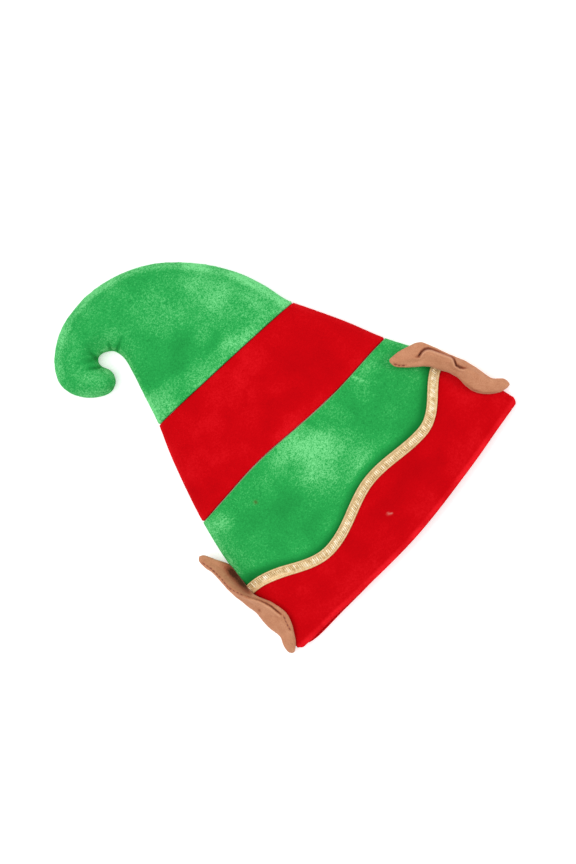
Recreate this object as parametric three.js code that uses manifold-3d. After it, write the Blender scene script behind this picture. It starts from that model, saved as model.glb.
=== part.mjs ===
// A plush elf hat with a curled peak and a pair of stuffed ears, lying on its back panels as it is stored.
// Millimetres, +Z up. +Y runs from the hem to the peak, +X along the hem, and the table is at Z = 0.
// The hat is cut as front and back panels, joined along its outline. Each colour is a panel of its own.
import * as THREE from "three";
import { mergeVertices } from "three/addons/utils/BufferGeometryUtils.js";
import Module from "manifold-3d";

const wasm = await Module();
wasm.setup();

// Driving dimensions
const hemHalfWidth = 145; // half of the hem's width, from side seam to side seam
const hatHeight = 343; // from the hem's corners to the top of the bend
const hemDrop = 13; // how far the middle of the hem lies below its corners
const hemCorner = 4; // rounding of the hem's corners
const hatLoft = 35; // how high the front lies above the table at its fullest
const seamHeight = 8; // height of the side seams above the table
const clothWall = 3; // velour with its foam backing
const seamGap = 0.3; // between two panels, and between a panel and the braid
const waveHeight = 72; // how far the wavy seam climbs at the side seams
const braidWidth = 9;
const braidThickness = 1.8;
const earLength = 116; // the left ear, from lobe to point
const earLoft = 34; // how high an ear stands at its fullest
const seatClearance = 0.4; // between an ear and what it is sewn to
const shelfMargin = 0.5; // the back stays raised this far past the braid's edges
const rampLength = 3; // and then comes down to the table over this length

// Colours, by eye
const finish = {
  greenVelour: { color: "#2fae50", roughness: 0.85, metalness: 0 },
  redVelour: { color: "#d40b16", roughness: 0.85, metalness: 0 },
  goldBraid: { color: "#e3c88a", roughness: 0.4, metalness: 0.6 },
  tanSuede: { color: "#cf9470", roughness: 0.9, metalness: 0 },
};

// The outline, a row for each section from below the hem to the end of the curl.
// left and right are the two ends of the section, across as a share of hemHalfWidth and up of hatHeight.
// top is the front's height as a share of hatLoft, and bottom is the back's height as a share of seamHeight.
const sections = [
  { left: [-1.012, -0.047], right: [1.021, -0.047], top: 0.64, bottom: 0 },
  { left: [-0.98, 0.058], right: [0.983, 0.058], top: 0.74, bottom: 0 },
  { left: [-0.94, 0.163], right: [0.926, 0.16], top: 0.87, bottom: 0 },
  { left: [-0.893, 0.277], right: [0.845, 0.268], top: 0.97, bottom: 0 },
  { left: [-0.812, 0.391], right: [0.752, 0.359], top: 1.0, bottom: 0 },
  { left: [-0.729, 0.481], right: [0.671, 0.461], top: 0.97, bottom: 0 },
  { left: [-0.634, 0.571], right: [0.584, 0.554], top: 0.91, bottom: 0 },
  { left: [-0.545, 0.644], right: [0.531, 0.612], top: 0.86, bottom: 0 },
  { left: [-0.481, 0.711], right: [0.507, 0.679], top: 0.83, bottom: 0 },
  { left: [-0.422, 0.773], right: [0.45, 0.758], top: 0.82, bottom: 0 },
  { left: [-0.386, 0.819], right: [0.333, 0.845], top: 0.84, bottom: 0 },
  { left: [-0.393, 0.85], right: [0.154, 0.927], top: 0.86, bottom: 0 },
  { left: [-0.428, 0.865], right: [-0.055, 0.978], top: 0.87, bottom: 0 },
  { left: [-0.462, 0.871], right: [-0.276, 0.9985], top: 0.86, bottom: 0 },
  { left: [-0.49, 0.869], right: [-0.497, 0.99], top: 0.84, bottom: 0 },
  { left: [-0.508, 0.86], right: [-0.658, 0.956], top: 0.81, bottom: 0 },
  { left: [-0.51, 0.85], right: [-0.752, 0.91], top: 0.78, bottom: 0 },
  { left: [-0.503, 0.84], right: [-0.761, 0.867], top: 0.74, bottom: 0 },
  { left: [-0.494, 0.828], right: [-0.721, 0.829], top: 0.69, bottom: 0.02 },
  { left: [-0.499, 0.813], right: [-0.662, 0.803], top: 0.6, bottom: 0.12 },
  { left: [-0.524, 0.797], right: [-0.607, 0.79], top: 0.43, bottom: 0.4 },
  { left: [-0.56, 0.7895], right: [-0.572, 0.7885], top: 0.27, bottom: 0.85 },
];
const curlEnd = 0.992; // share of the way along at which the cloth ends, nearly in a point
const curlHollowEnd = 0.958; // and at which the hollow inside the curl ends
const bendStart = 0.5; // and up to which the outline only climbs, so that a height has one place along it

// Soft dents and rises of the front. Their places and reaches are shares of hemHalfWidth across and of
// hatHeight up, and depth is a share of hatLoft, below 0 for a rise.
const dents = [
  { name: "over the braid, right", across: 0.6, up: 0.195, wide: 0.24, tall: 0.06, depth: 0.13 },
  { name: "over the braid, left", across: -0.5, up: 0.2, wide: 0.22, tall: 0.08, depth: 0.08 },
  { name: "ridge between them", across: -0.03, up: 0.27, wide: 0.16, tall: 0.12, depth: -0.07 },
  { name: "lip of the hem", across: -0.42, up: -0.02, wide: 0.3, tall: 0.1, depth: 0.1 },
  { name: "stripe", across: 0.45, up: 0.43, wide: 0.2, tall: 0.09, depth: 0.07 },
  { name: "peak, inside the bend", across: -0.16, up: 0.79, wide: 0.14, tall: 0.14, depth: 0.1 },
  { name: "pucker at the curl", across: -0.45, up: 0.885, wide: 0.07, tall: 0.022, depth: 0.14 },
];

// The hem, as shares of hemDrop below the corners. The back peeps out below the front at the left.
const cornerStart = 0.97; // where the hem's corners start to round off, as a share of the way across
const hemRows = [
  { across: -1, front: 0.25, back: 0.4 },
  { across: -0.9, front: 0.35, back: 0.6 },
  { across: -0.7, front: 0.48, back: 0.7 },
  { across: -0.45, front: 0.76, back: 0.85 },
  { across: 0, front: 1, back: 0.94 },
  { across: 0.5, front: 0.65, back: 0.6 },
  { across: 0.8, front: 0.29, back: 0.25 },
  { across: 1, front: 0.08, back: 0.04 },
];

// The wavy seam under the braid: its crests and dips, up as a share of waveHeight.
const waveRows = [
  { across: -1, up: 0.92 },
  { across: -0.43, up: 0.48 },
  { across: 0.08, up: 0.69 },
  { across: 0.5, up: 0.595 },
  { across: 1, up: 1 },
];

// The two seams between stripes: the height of their ends and their bend, as shares of hatHeight.
const stripeSeam = { left: 0.3935, right: 0.3585, bend: 0.009 };
const peakSeam = { left: 0.6415, right: 0.5945, bend: 0 };

// Each ear is a pad folded along its length, with a row for each section from the lobe to the point.
// along is a share of the ear's length. rim, crease and far are places of the near rim, the crease of the fold
// and the far rim: across as a share of the length, and up as a share of earLoft. near is the height of the
// near fold between rim and crease, and foot is the underside's.
const leftEar = {
  length: earLength,
  foot: { across: -0.952, up: 0.0 }, // the lobe's end, as shares of hemHalfWidth and hatHeight
  lean: -1, // degrees from +Y
  rows: [
    { along: 0.012, rim: [-0.05, 0.3], near: 0.42, crease: [-0.08, 0.4], far: [-0.12, 0.4], foot: 0.1 },
    { along: 0.05, rim: [-0.014, 0.36], near: 0.54, crease: [-0.05, 0.5], far: [-0.126, 0.52], foot: 0.03 },
    { along: 0.105, rim: [0.022, 0.44], near: 0.64, crease: [-0.012, 0.56], far: [-0.115, 0.6], foot: 0.02 },
    { along: 0.16, rim: [0.052, 0.5], near: 0.7, crease: [0.017, 0.6], far: [-0.078, 0.66], foot: 0.02 },
    { along: 0.225, rim: [0.077, 0.54], near: 0.76, crease: [0.038, 0.64], far: [-0.083, 0.72], foot: 0.02 },
    { along: 0.31, rim: [0.08, 0.56], near: 0.82, crease: [0.045, 0.68], far: [-0.077, 0.8], foot: 0.02 },
    { along: 0.415, rim: [0.065, 0.56], near: 0.88, crease: [0.03, 0.7], far: [-0.064, 0.88], foot: 0.02 },
    { along: 0.52, rim: [0.045, 0.5], near: 0.88, crease: [-0.004, 0.68], far: [-0.081, 0.92], foot: 0.02 },
    { along: 0.62, rim: [0.05, 0.2], near: 0.7, crease: [-0.045, 0.66], far: [-0.092, 0.9], foot: 0.02 },
    { along: 0.73, rim: [0.07, 0.15], near: 0.56, crease: [-0.055, 0.6], far: [-0.091, 0.8], foot: 0.02 },
    { along: 0.83, rim: [0.052, 0.15], near: 0.5, crease: [-0.045, 0.54], far: [-0.089, 0.68], foot: 0.02 },
    { along: 0.91, rim: [0.022, 0.18], near: 0.46, crease: [-0.045, 0.48], far: [-0.086, 0.56], foot: 0.03 },
    { along: 0.965, rim: [0.0, 0.24], near: 0.4, crease: [-0.038, 0.4], far: [-0.078, 0.42], foot: 0.08 },
    { along: 0.99, rim: [-0.016, 0.28], near: 0.35, crease: [-0.034, 0.34], far: [-0.052, 0.35], foot: 0.16 },
  ],
};
const rightEar = {
  length: earLength * 0.93, // pressed a little shorter as it lies
  foot: { across: 1.041, up: 0.0466 },
  lean: 31.8,
  rows: [
    { along: 0.01, rim: [-0.04, 0.38], near: 0.48, crease: [-0.01, 0.46], far: [0.018, 0.46], foot: 0.2 },
    { along: 0.05, rim: [-0.074, 0.42], near: 0.6, crease: [-0.03, 0.54], far: [0.036, 0.56], foot: 0.1 },
    { along: 0.13, rim: [-0.111, 0.5], near: 0.74, crease: [-0.03, 0.66], far: [0.024, 0.66], foot: 0.08 },
    { along: 0.22, rim: [-0.12, 0.58], near: 0.86, crease: [-0.01, 0.74], far: [0.058, 0.76], foot: 0.08 },
    { along: 0.32, rim: [-0.102, 0.66], near: 0.98, crease: [0.03, 0.72], far: [0.096, 0.86], foot: 0.08 },
    { along: 0.42, rim: [-0.035, 0.72], near: 1.08, crease: [0.06, 0.66], far: [0.13, 0.96], foot: 0.08 },
    { along: 0.53, rim: [-0.01, 0.76], near: 1.14, crease: [0.118, 0.74], far: [0.158, 1.02], foot: 0.08 },
    { along: 0.64, rim: [0.0, 0.8], near: 1.16, crease: [0.145, 0.78], far: [0.18, 1.06], foot: 0.1 },
    { along: 0.74, rim: [0.007, 0.84], near: 1.14, crease: [0.12, 0.82], far: [0.205, 1.08], foot: 0.2 },
    { along: 0.83, rim: [-0.004, 0.88], near: 1.08, crease: [0.082, 0.96], far: [0.179, 1.06], foot: 0.4 },
    { along: 0.91, rim: [-0.022, 0.9], near: 1.05, crease: [0.04, 1.0], far: [0.119, 1.04], foot: 0.6 },
    { along: 0.965, rim: [-0.026, 0.9], near: 1.02, crease: [0.02, 1.0], far: [0.068, 1.0], foot: 0.72 },
    { along: 0.992, rim: [-0.01, 0.92], near: 0.98, crease: [0.012, 0.98], far: [0.036, 0.98], foot: 0.82 },
  ],
};

// How finely each piece is divided
const frontSteps = 20; // from side seam to side seam
const edgeArcSteps = 3; // of the back's rounded edges
const backFlatSteps = 14;
const earSteps = 20; // around an ear

// The outline's two edges and its heights as curves over 0 to 1, from the hem's end to the curl's end
function curveThrough(points) {
  return new THREE.CatmullRomCurve3(points, false, "catmullrom", 0.5);
}
const edgePoint = ([across, up]) => new THREE.Vector3(across * hemHalfWidth, up * hatHeight, 0);
const leftEdge = curveThrough(sections.map((row) => edgePoint(row.left)));
const rightEdge = curveThrough(sections.map((row) => edgePoint(row.right)));
const heights = curveThrough(
  sections.map((row) => new THREE.Vector3(row.bottom * seamHeight, row.top * hatLoft, 0)),
);

// A value from a table of rows, on a smooth curve through them all
function smoothValue(rows, key, across) {
  const last = rows.length - 1;
  let k = 0;
  while (k < last - 1 && across > rows[k + 1].across) k += 1;
  const from = rows[k];
  const to = rows[k + 1];
  const before = rows[Math.max(k - 1, 0)];
  const after = rows[Math.min(k + 2, last)];
  const span = to.across - from.across;
  const t = THREE.MathUtils.clamp((across - from.across) / span, 0, 1);
  const slopeIn = ((to[key] - before[key]) / (to.across - before.across)) * span;
  const slopeOut = ((after[key] - from[key]) / (after.across - from.across)) * span;
  const t2 = t * t;
  const t3 = t2 * t;
  return (
    (2 * t3 - 3 * t2 + 1) * from[key] +
    (t3 - 2 * t2 + t) * slopeIn +
    (3 * t2 - 2 * t3) * to[key] +
    (t3 - t2) * slopeOut
  );
}

// The wave swings between its crests and dips on half cosines
function waveUp(across) {
  let k = 0;
  while (k < waveRows.length - 2 && across > waveRows[k + 1].across) k += 1;
  const from = waveRows[k];
  const to = waveRows[k + 1];
  const t = THREE.MathUtils.clamp((across - from.across) / (to.across - from.across), 0, 1);
  return waveHeight * (from.up + ((to.up - from.up) * (1 - Math.cos(Math.PI * t))) / 2);
}

// The same height measured square to the wave is this much longer measured straight up
function waveSlant(across) {
  const step = 0.01;
  const rise = waveUp(Math.min(across + step, 1)) - waveUp(Math.max(across - step, -1));
  return Math.hypot(1, rise / (2 * step * hemHalfWidth));
}

function hemUp(across, layer) {
  const corner = Math.max(0, (Math.abs(across) - cornerStart) / (1 - cornerStart));
  return -hemDrop * smoothValue(hemRows, layer, across) + hemCorner * corner * corner;
}

function seamUp(seam, across) {
  const straight = (seam.left * (1 - across) + seam.right * (1 + across)) / 2;
  const bend = seam.bend * Math.sin(Math.PI * across) * (1 - across * across);
  return (straight - bend) * hatHeight;
}

// The place in plan of a point across the hat (-1 at the left seam, 1 at the right) and along it (0 to 1)
function planPoint(across, along) {
  const left = leftEdge.getPoint(along);
  const right = rightEdge.getPoint(along);
  return left.lerp(right, (1 + across) / 2);
}

// How far along the hat a point lies, from its height up the hat
function alongAt(across, up) {
  let low = 0;
  let high = bendStart;
  for (let k = 0; k < 30; k += 1) {
    const middle = (low + high) / 2;
    if (planPoint(across, middle).y < up) low = middle;
    else high = middle;
  }
  return (low + high) / 2;
}

// How far the front is pressed in at a place in plan
function dentDepth({ x, y }) {
  return dents.reduce((sum, dent) => {
    const across = (x / hemHalfWidth - dent.across) / dent.wide;
    const up = (y / hatHeight - dent.up) / dent.tall;
    return sum + dent.depth * hatLoft * Math.exp(-(across * across) - up * up);
  }, 0);
}

// The front runs over in half a turn, with its points drawn in towards its middle
const frontRoundness = 0.85;
const widestEdge = 0.9; // of the back's rounded edges, as a share of half a section's width
const drawnIn = 0.06;
function frontPlace(turn) {
  const lean = Math.PI * (turn + drawnIn * Math.sin(2 * Math.PI * turn));
  return [Math.cos(lean), lean];
}

// A point of a layer, outset from the outer surface (inset is negative). turn is 0 at the right seam and 1 at
// the left one. raise lifts the back off the table, where the braid lies under it.
function layerPoint(layer, turn, alongOf, outset, raise = 0) {
  const [across, lean] = layer === "front" ? frontPlace(turn) : backPlace(turn);
  const along = alongOf(across);
  const { x: back, y: top } = heights.getPoint(along);
  const bottom = Math.max(back, 0);
  const left = leftEdge.getPoint(along);
  const right = rightEdge.getPoint(along);
  const halfWidth = left.distanceTo(right) / 2;
  const outward = right.clone().sub(left).normalize();
  const middle = left.clone().add(right).multiplyScalar(0.5);
  let reach;
  let z;
  if (layer === "front") {
    const springs = seamHeight + seamGap / 2;
    const dome = Math.sin(lean) ** frontRoundness;
    reach = across * (halfWidth + outset);
    z = springs + (top - springs + outset - dentDepth(planPoint(across, along))) * dome;
  } else {
    const springs = seamHeight - seamGap / 2;
    const radius = Math.min(springs - bottom - raise, halfWidth * widestEdge);
    const flatHalf = halfWidth - radius;
    reach = across * flatHalf + Math.sign(across) * (radius + outset) * Math.cos(lean);
    z = springs - (springs - bottom - raise + outset) * Math.sin(lean);
  }
  return middle.addScaledVector(outward, reach).setZ(z);
}

// The back runs round an arc at each seam and flat between: how far across a turn is, and its lean, which is
// 0 at a seam and a quarter turn all over the flat
const backSteps = backFlatSteps + 2 * edgeArcSteps;
function backPlace(turn) {
  const step = turn * backSteps;
  const quarter = Math.PI / 2;
  if (step < edgeArcSteps) return [1, quarter * (step / edgeArcSteps)];
  if (step > backSteps - edgeArcSteps) return [-1, quarter * ((backSteps - step) / edgeArcSteps)];
  return [1 - (2 * (step - edgeArcSteps)) / backFlatSteps, quarter];
}

// One closed solid from two grids of points that face each other, outer[row][column] and inner[row][column]
function solidBetween(outer, inner, ring = false) {
  const rows = outer.length;
  const columns = outer[0].length;
  const positions = [...outer.flat(), ...inner.flat()].flatMap((p) => [p.x, p.y, p.z]);
  const at = (side, row, column) => side * rows * columns + row * columns + (column % columns);
  const index = [];
  const quad = (a, b, c, d) => index.push(a, b, c, a, c, d);
  const spans = ring ? columns : columns - 1;
  for (let c = 0; c < spans; c += 1) {
    for (let r = 0; r < rows - 1; r += 1) {
      quad(at(0, r, c), at(0, r + 1, c), at(0, r + 1, c + 1), at(0, r, c + 1));
      quad(at(1, r, c), at(1, r, c + 1), at(1, r + 1, c + 1), at(1, r + 1, c));
    }
    quad(at(0, 0, c), at(0, 0, c + 1), at(1, 0, c + 1), at(1, 0, c));
    quad(at(0, rows - 1, c), at(1, rows - 1, c), at(1, rows - 1, c + 1), at(0, rows - 1, c + 1));
  }
  for (let r = 0; !ring && r < rows - 1; r += 1) {
    quad(at(0, r, 0), at(1, r, 0), at(1, r + 1, 0), at(0, r + 1, 0));
    const end = columns - 1;
    quad(at(0, r, end), at(0, r + 1, end), at(1, r + 1, end), at(1, r, end));
  }
  const geometry = new THREE.BufferGeometry();
  geometry.setAttribute("position", new THREE.Float32BufferAttribute(positions, 3));
  geometry.setIndex(index);
  return facingOut(geometry);
}

function signedVolume(geometry) {
  const p = geometry.getAttribute("position");
  const index = geometry.getIndex().array;
  const [a, b, c] = [new THREE.Vector3(), new THREE.Vector3(), new THREE.Vector3()];
  let sum = 0;
  for (let k = 0; k < index.length; k += 3) {
    a.fromBufferAttribute(p, index[k]);
    b.fromBufferAttribute(p, index[k + 1]);
    c.fromBufferAttribute(p, index[k + 2]);
    sum += a.dot(b.cross(c)) / 6;
  }
  return sum;
}

function facingOut(geometry) {
  if (signedVolume(geometry) < 0) {
    const index = geometry.getIndex().array;
    for (let k = 0; k < index.length; k += 3) [index[k], index[k + 1]] = [index[k + 1], index[k]];
  }
  return geometry;
}

// Boundaries between the panels, each kept half a gap clear of its neighbour
const gapUp = seamGap / 2;
const hemAlong = (layer) => (across) => alongAt(across, hemUp(across, layer));
const waveAlong = (shift) => (across) => alongAt(across, waveUp(across) + shift * waveSlant(across));
const seamAlong = (seam, shift) => (across) => alongAt(across, seamUp(seam, across) + shift);

const even = (steps) => Array.from({ length: steps + 1 }, (_, k) => k / steps);

// A panel made of strips of rows, one after another. from and to are a strip's boundaries, and raise is how
// far it is lifted off the table at each of them.
function panel(layer, strips) {
  const columns = layer === "front" ? frontSteps : backSteps;
  const lines = strips.flatMap(({ from, to, steps, raise = [0, 0] }, k) =>
    even(steps)
      .slice(k === 0 ? 0 : 1)
      .map((blend) => ({
        alongOf: (across) => THREE.MathUtils.lerp(from(across), to(across), blend),
        raise: THREE.MathUtils.lerp(raise[0], raise[1], blend),
      })),
  );
  const grid = (outset, end) =>
    lines.map(({ alongOf, raise }) =>
      even(columns).map((turn) =>
        layerPoint(layer, turn, (across) => Math.min(alongOf(across), end), outset, raise),
      ),
    );
  return solidBetween(grid(0, curlEnd), grid(-clothWall, curlHollowEnd));
}

// The panels have a row at each edge of the braid, which lies on them. Where it passes under the hat the back
// is raised over it, like a shelf with a ramp at each side.
const braidOutset = seamGap + braidThickness;
const braidEdge = braidWidth / 2;
const shelfEnd = braidEdge + shelfMargin;
const rampEnd = shelfEnd + rampLength;
const up = [0, braidOutset];
const over = [braidOutset, braidOutset];
const down = [braidOutset, 0];

function bandPanel(layer) {
  const hem = hemAlong(layer);
  if (layer === "front") {
    return panel(layer, [
      { from: hem, to: waveAlong(-braidEdge), steps: 4 },
      { from: waveAlong(-braidEdge), to: waveAlong(-gapUp), steps: 1 },
    ]);
  }
  return panel(layer, [
    { from: hem, to: waveAlong(-rampEnd), steps: 3 },
    { from: waveAlong(-rampEnd), to: waveAlong(-shelfEnd), steps: 1, raise: up },
    { from: waveAlong(-shelfEnd), to: waveAlong(-gapUp), steps: 1, raise: over },
  ]);
}

function crownPanel(layer) {
  const seam = seamAlong(stripeSeam, -gapUp);
  if (layer === "front") {
    return panel(layer, [
      { from: waveAlong(gapUp), to: waveAlong(braidEdge), steps: 1 },
      { from: waveAlong(braidEdge), to: seam, steps: 6 },
    ]);
  }
  return panel(layer, [
    { from: waveAlong(gapUp), to: waveAlong(shelfEnd), steps: 1, raise: over },
    { from: waveAlong(shelfEnd), to: waveAlong(rampEnd), steps: 1, raise: down },
    { from: waveAlong(rampEnd), to: seam, steps: 4 },
  ]);
}

function stripePanel(layer) {
  return panel(layer, [
    { from: seamAlong(stripeSeam, gapUp), to: seamAlong(peakSeam, -gapUp), steps: 6 },
  ]);
}

function peakPanel(layer) {
  return panel(layer, [{ from: seamAlong(peakSeam, gapUp), to: () => curlEnd, steps: 26 }]);
}

// Points all the way round the hat, over the front and back under it
function hoop(alongOf, outset, raise = 0) {
  const front = even(frontSteps).slice(0, -1);
  const back = even(backSteps).slice(1).reverse();
  return [
    ...front.map((turn) => layerPoint("front", turn, alongOf, outset)),
    ...back.map((turn) => layerPoint("back", turn, alongOf, outset, raise)),
  ];
}

// The braid lies on the wavy seam all the way round, in one loop
function braidRing(outsets, edge) {
  const rows = [-edge, -gapUp, gapUp, edge];
  const grid = (outset) => rows.map((row) => hoop(waveAlong(row), outset, braidOutset));
  return solidBetween(grid(outsets[1]), grid(outsets[0]), true);
}

// The whole hat's outer form, grown by an outset, to fit other pieces against it
function hatForm(outset) {
  const start = (across) => alongAt(across, hemUp(across, "back") - outset);
  const rows = even(26).map((blend) =>
    hoop((across) => THREE.MathUtils.lerp(start(across), bendStart, blend), outset),
  );
  return loft(rows);
}

// A closed solid through rings of points, with flat ends
function loft(rings) {
  const around = rings[0].length;
  const centres = [rings[0], rings[rings.length - 1]].map((ring) =>
    ring.reduce((sum, p) => sum.add(p), new THREE.Vector3()).divideScalar(around),
  );
  const positions = [...rings.flat(), ...centres].flatMap((p) => [p.x, p.y, p.z]);
  const index = [];
  for (let r = 0; r < rings.length; r += 1) {
    for (let k = 0; k < around; k += 1) {
      const here = r * around + k;
      const next = r * around + ((k + 1) % around);
      if (r < rings.length - 1) index.push(here, next, next + around, here, next + around, here + around);
      if (r === 0) index.push(rings.length * around, next, here);
      if (r === rings.length - 1) index.push(rings.length * around + 1, here, next);
    }
  }
  const geometry = new THREE.BufferGeometry();
  geometry.setAttribute("position", new THREE.Float32BufferAttribute(positions, 3));
  geometry.setIndex(index);
  return facingOut(geometry);
}

// Conversions between three.js geometry and a manifold-3d solid
function solidOf(geometry) {
  const merged = mergeVertices(geometry, 1e-4);
  return new wasm.Manifold(
    new wasm.Mesh({
      numProp: 3,
      vertProperties: merged.getAttribute("position").array,
      triVerts: new Uint32Array(merged.getIndex().array),
    }),
  );
}

function geometryOf(solid) {
  const mesh = solid.getMesh();
  const geometry = new THREE.BufferGeometry();
  geometry.setAttribute("position", new THREE.BufferAttribute(new Float32Array(mesh.vertProperties), 3));
  geometry.setIndex(new THREE.BufferAttribute(new Uint32Array(mesh.triVerts), 1));
  return geometry;
}

// An ear: the folded pad lofted through its rows, then seated against the hat and the braid
function earForm(ear) {
  const lean = THREE.MathUtils.degToRad(ear.lean);
  const lengthwise = new THREE.Vector3(-Math.sin(lean), Math.cos(lean), 0);
  const crosswise = new THREE.Vector3(Math.cos(lean), Math.sin(lean), 0);
  const origin = edgePoint([ear.foot.across, ear.foot.up]);
  const rings = ear.rows.map((row) => {
    const place = (across, high) =>
      origin
        .clone()
        .addScaledVector(lengthwise, row.along * ear.length)
        .addScaledVector(crosswise, across * ear.length)
        .setZ(high * earLoft);
    const between = THREE.MathUtils.lerp;
    const { rim, near, crease, far, foot } = row;
    const outline = [
      place(...rim),
      place(between(rim[0], crease[0], 0.3), between(rim[1], near, 0.75)),
      place(between(rim[0], crease[0], 0.66), near),
      place(...crease),
      place(between(crease[0], far[0], 0.5), far[1]),
      place(far[0], between(foot, far[1], 0.55)),
      place(between(rim[0], far[0], 0.85), foot),
      place(between(rim[0], far[0], 0.3), foot + 0.02),
    ];
    const around = new THREE.CatmullRomCurve3(outline, true, "catmullrom", 0.5).getPoints(earSteps);
    return around.slice(0, -1).map((point) => point.setZ(Math.max(point.z, 0)));
  });
  return loft(rings);
}

const seat = solidOf(hatForm(seatClearance)).add(
  solidOf(braidRing([-clothWall / 2, braidOutset + seatClearance], braidEdge + seatClearance)),
);

function seatedEar(ear) {
  return geometryOf(solidOf(earForm(ear)).subtract(seat));
}

function materialOf(name) {
  return new THREE.MeshStandardMaterial(finish[name]);
}

const pieces = [
  ["band_front", bandPanel("front"), "redVelour"],
  ["band_back", bandPanel("back"), "redVelour"],
  ["crown_front", crownPanel("front"), "greenVelour"],
  ["crown_back", crownPanel("back"), "greenVelour"],
  ["stripe_front", stripePanel("front"), "redVelour"],
  ["stripe_back", stripePanel("back"), "redVelour"],
  ["peak_front", peakPanel("front"), "greenVelour"],
  ["peak_back", peakPanel("back"), "greenVelour"],
  ["gold_braid", braidRing([seamGap, braidOutset], braidEdge), "goldBraid"],
  ["ear_left", seatedEar(leftEar), "tanSuede"],
  ["ear_right", seatedEar(rightEar), "tanSuede"],
];

const hat = new THREE.Group();
for (const [name, geometry, material] of pieces) {
  const mesh = new THREE.Mesh(geometry, materialOf(material));
  mesh.name = name;
  hat.add(mesh);
}

// The frame's origin is under the middle of the whole hat, on the table
const box = new THREE.Box3().setFromObject(hat);
hat.position.set(-(box.min.x + box.max.x) / 2, -(box.min.y + box.max.y) / 2, -box.min.z);
const part = new THREE.Group();
part.add(hat);

export default part;
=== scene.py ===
import math

import bmesh
import bpy
import numpy as np
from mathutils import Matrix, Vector
from mathutils.bvhtree import BVHTree


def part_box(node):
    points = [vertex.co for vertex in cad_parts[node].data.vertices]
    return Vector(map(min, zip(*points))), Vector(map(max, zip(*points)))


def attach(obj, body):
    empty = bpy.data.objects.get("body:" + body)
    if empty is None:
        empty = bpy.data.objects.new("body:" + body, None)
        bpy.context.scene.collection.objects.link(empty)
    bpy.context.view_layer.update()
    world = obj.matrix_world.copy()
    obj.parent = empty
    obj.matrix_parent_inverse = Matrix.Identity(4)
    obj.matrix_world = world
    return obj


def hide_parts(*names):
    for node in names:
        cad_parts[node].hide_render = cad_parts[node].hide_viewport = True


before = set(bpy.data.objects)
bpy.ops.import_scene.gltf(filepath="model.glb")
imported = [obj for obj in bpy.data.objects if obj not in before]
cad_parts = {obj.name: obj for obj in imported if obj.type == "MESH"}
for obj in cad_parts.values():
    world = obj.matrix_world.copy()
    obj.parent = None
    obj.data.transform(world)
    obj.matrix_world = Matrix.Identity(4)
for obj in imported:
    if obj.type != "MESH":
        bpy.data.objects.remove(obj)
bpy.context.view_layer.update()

mm = 0.001
scene = bpy.context.scene

# The hat's form in mm as it lies: x across from the middle of the hem, y from the hem to the peak.
# left and right are the ends of each section, as shares of hemHalfWidth and hatHeight. top is the front's
# height as a share of loft, and bottom is the back's as a share of seamHeight.
hatForm = {
    "hemHalfWidth": 145,
    "hatHeight": 343,
    "loft": 35,
    "seamHeight": 8,
    "seamGap": 0.3,
    "frontRoundness": 0.85,
    "widestEdge": 0.9,
    "bendStart": 0.5,
    "left": [
        (-1.012, -0.047), (-0.98, 0.058), (-0.94, 0.163), (-0.893, 0.277), (-0.812, 0.391), (-0.729, 0.481),
        (-0.634, 0.571), (-0.545, 0.644), (-0.481, 0.711), (-0.422, 0.773), (-0.386, 0.819), (-0.393, 0.85),
        (-0.428, 0.865), (-0.462, 0.871), (-0.49, 0.869), (-0.508, 0.86), (-0.51, 0.85), (-0.503, 0.84),
        (-0.494, 0.828), (-0.499, 0.813), (-0.524, 0.797), (-0.56, 0.7895),
    ],
    "right": [
        (1.021, -0.047), (0.983, 0.058), (0.926, 0.16), (0.845, 0.268), (0.752, 0.359), (0.671, 0.461),
        (0.584, 0.554), (0.531, 0.612), (0.507, 0.679), (0.45, 0.758), (0.333, 0.845), (0.154, 0.927),
        (-0.055, 0.978), (-0.276, 0.9985), (-0.497, 0.99), (-0.658, 0.956), (-0.752, 0.91), (-0.761, 0.867),
        (-0.721, 0.829), (-0.662, 0.803), (-0.607, 0.79), (-0.572, 0.7885),
    ],
    "top": [0.64, 0.74, 0.87, 0.97, 1.0, 0.97, 0.91, 0.86, 0.83, 0.82, 0.84, 0.86,
            0.87, 0.86, 0.84, 0.81, 0.78, 0.74, 0.69, 0.6, 0.43, 0.27],
    "bottom": [0] * 18 + [0.02, 0.12, 0.4, 0.85],
}
# Soft dents and rises of the front: place and reach as shares of the width and height, depth of the loft
dents = [
    {"across": 0.6, "up": 0.195, "wide": 0.24, "tall": 0.06, "depth": 0.13},
    {"across": -0.5, "up": 0.2, "wide": 0.22, "tall": 0.08, "depth": 0.08},
    {"across": -0.03, "up": 0.27, "wide": 0.16, "tall": 0.12, "depth": -0.07},
    {"across": -0.42, "up": -0.02, "wide": 0.3, "tall": 0.1, "depth": 0.1},
    {"across": 0.45, "up": 0.43, "wide": 0.2, "tall": 0.09, "depth": 0.07},
    {"across": -0.16, "up": 0.79, "wide": 0.14, "tall": 0.14, "depth": 0.1},
    {"across": -0.45, "up": 0.885, "wide": 0.07, "tall": 0.022, "depth": 0.14},
]
# The hem below its corners, as shares of drop. The back peeps out below the front at the left.
hem = {
    "drop": 13,
    "corner": 4,
    "cornerStart": 0.97,
    "across": [-1, -0.9, -0.7, -0.45, 0, 0.5, 0.8, 1],
    "front": [0.25, 0.35, 0.48, 0.76, 1, 0.65, 0.29, 0.08],
    "back": [0.4, 0.6, 0.7, 0.85, 0.94, 0.6, 0.25, 0.04],
}
# The wavy seam, up as shares of its height at the right side seam, and the two seams between the stripes
wave = {"height": 72, "across": [-1, -0.43, 0.08, 0.5, 1], "up": [0.92, 0.48, 0.69, 0.595, 1]}
stripeSeam = {"left": 0.3935, "right": 0.3585, "bend": 0.009}
peakSeam = {"left": 0.6415, "right": 0.5945, "bend": 0}


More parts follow.
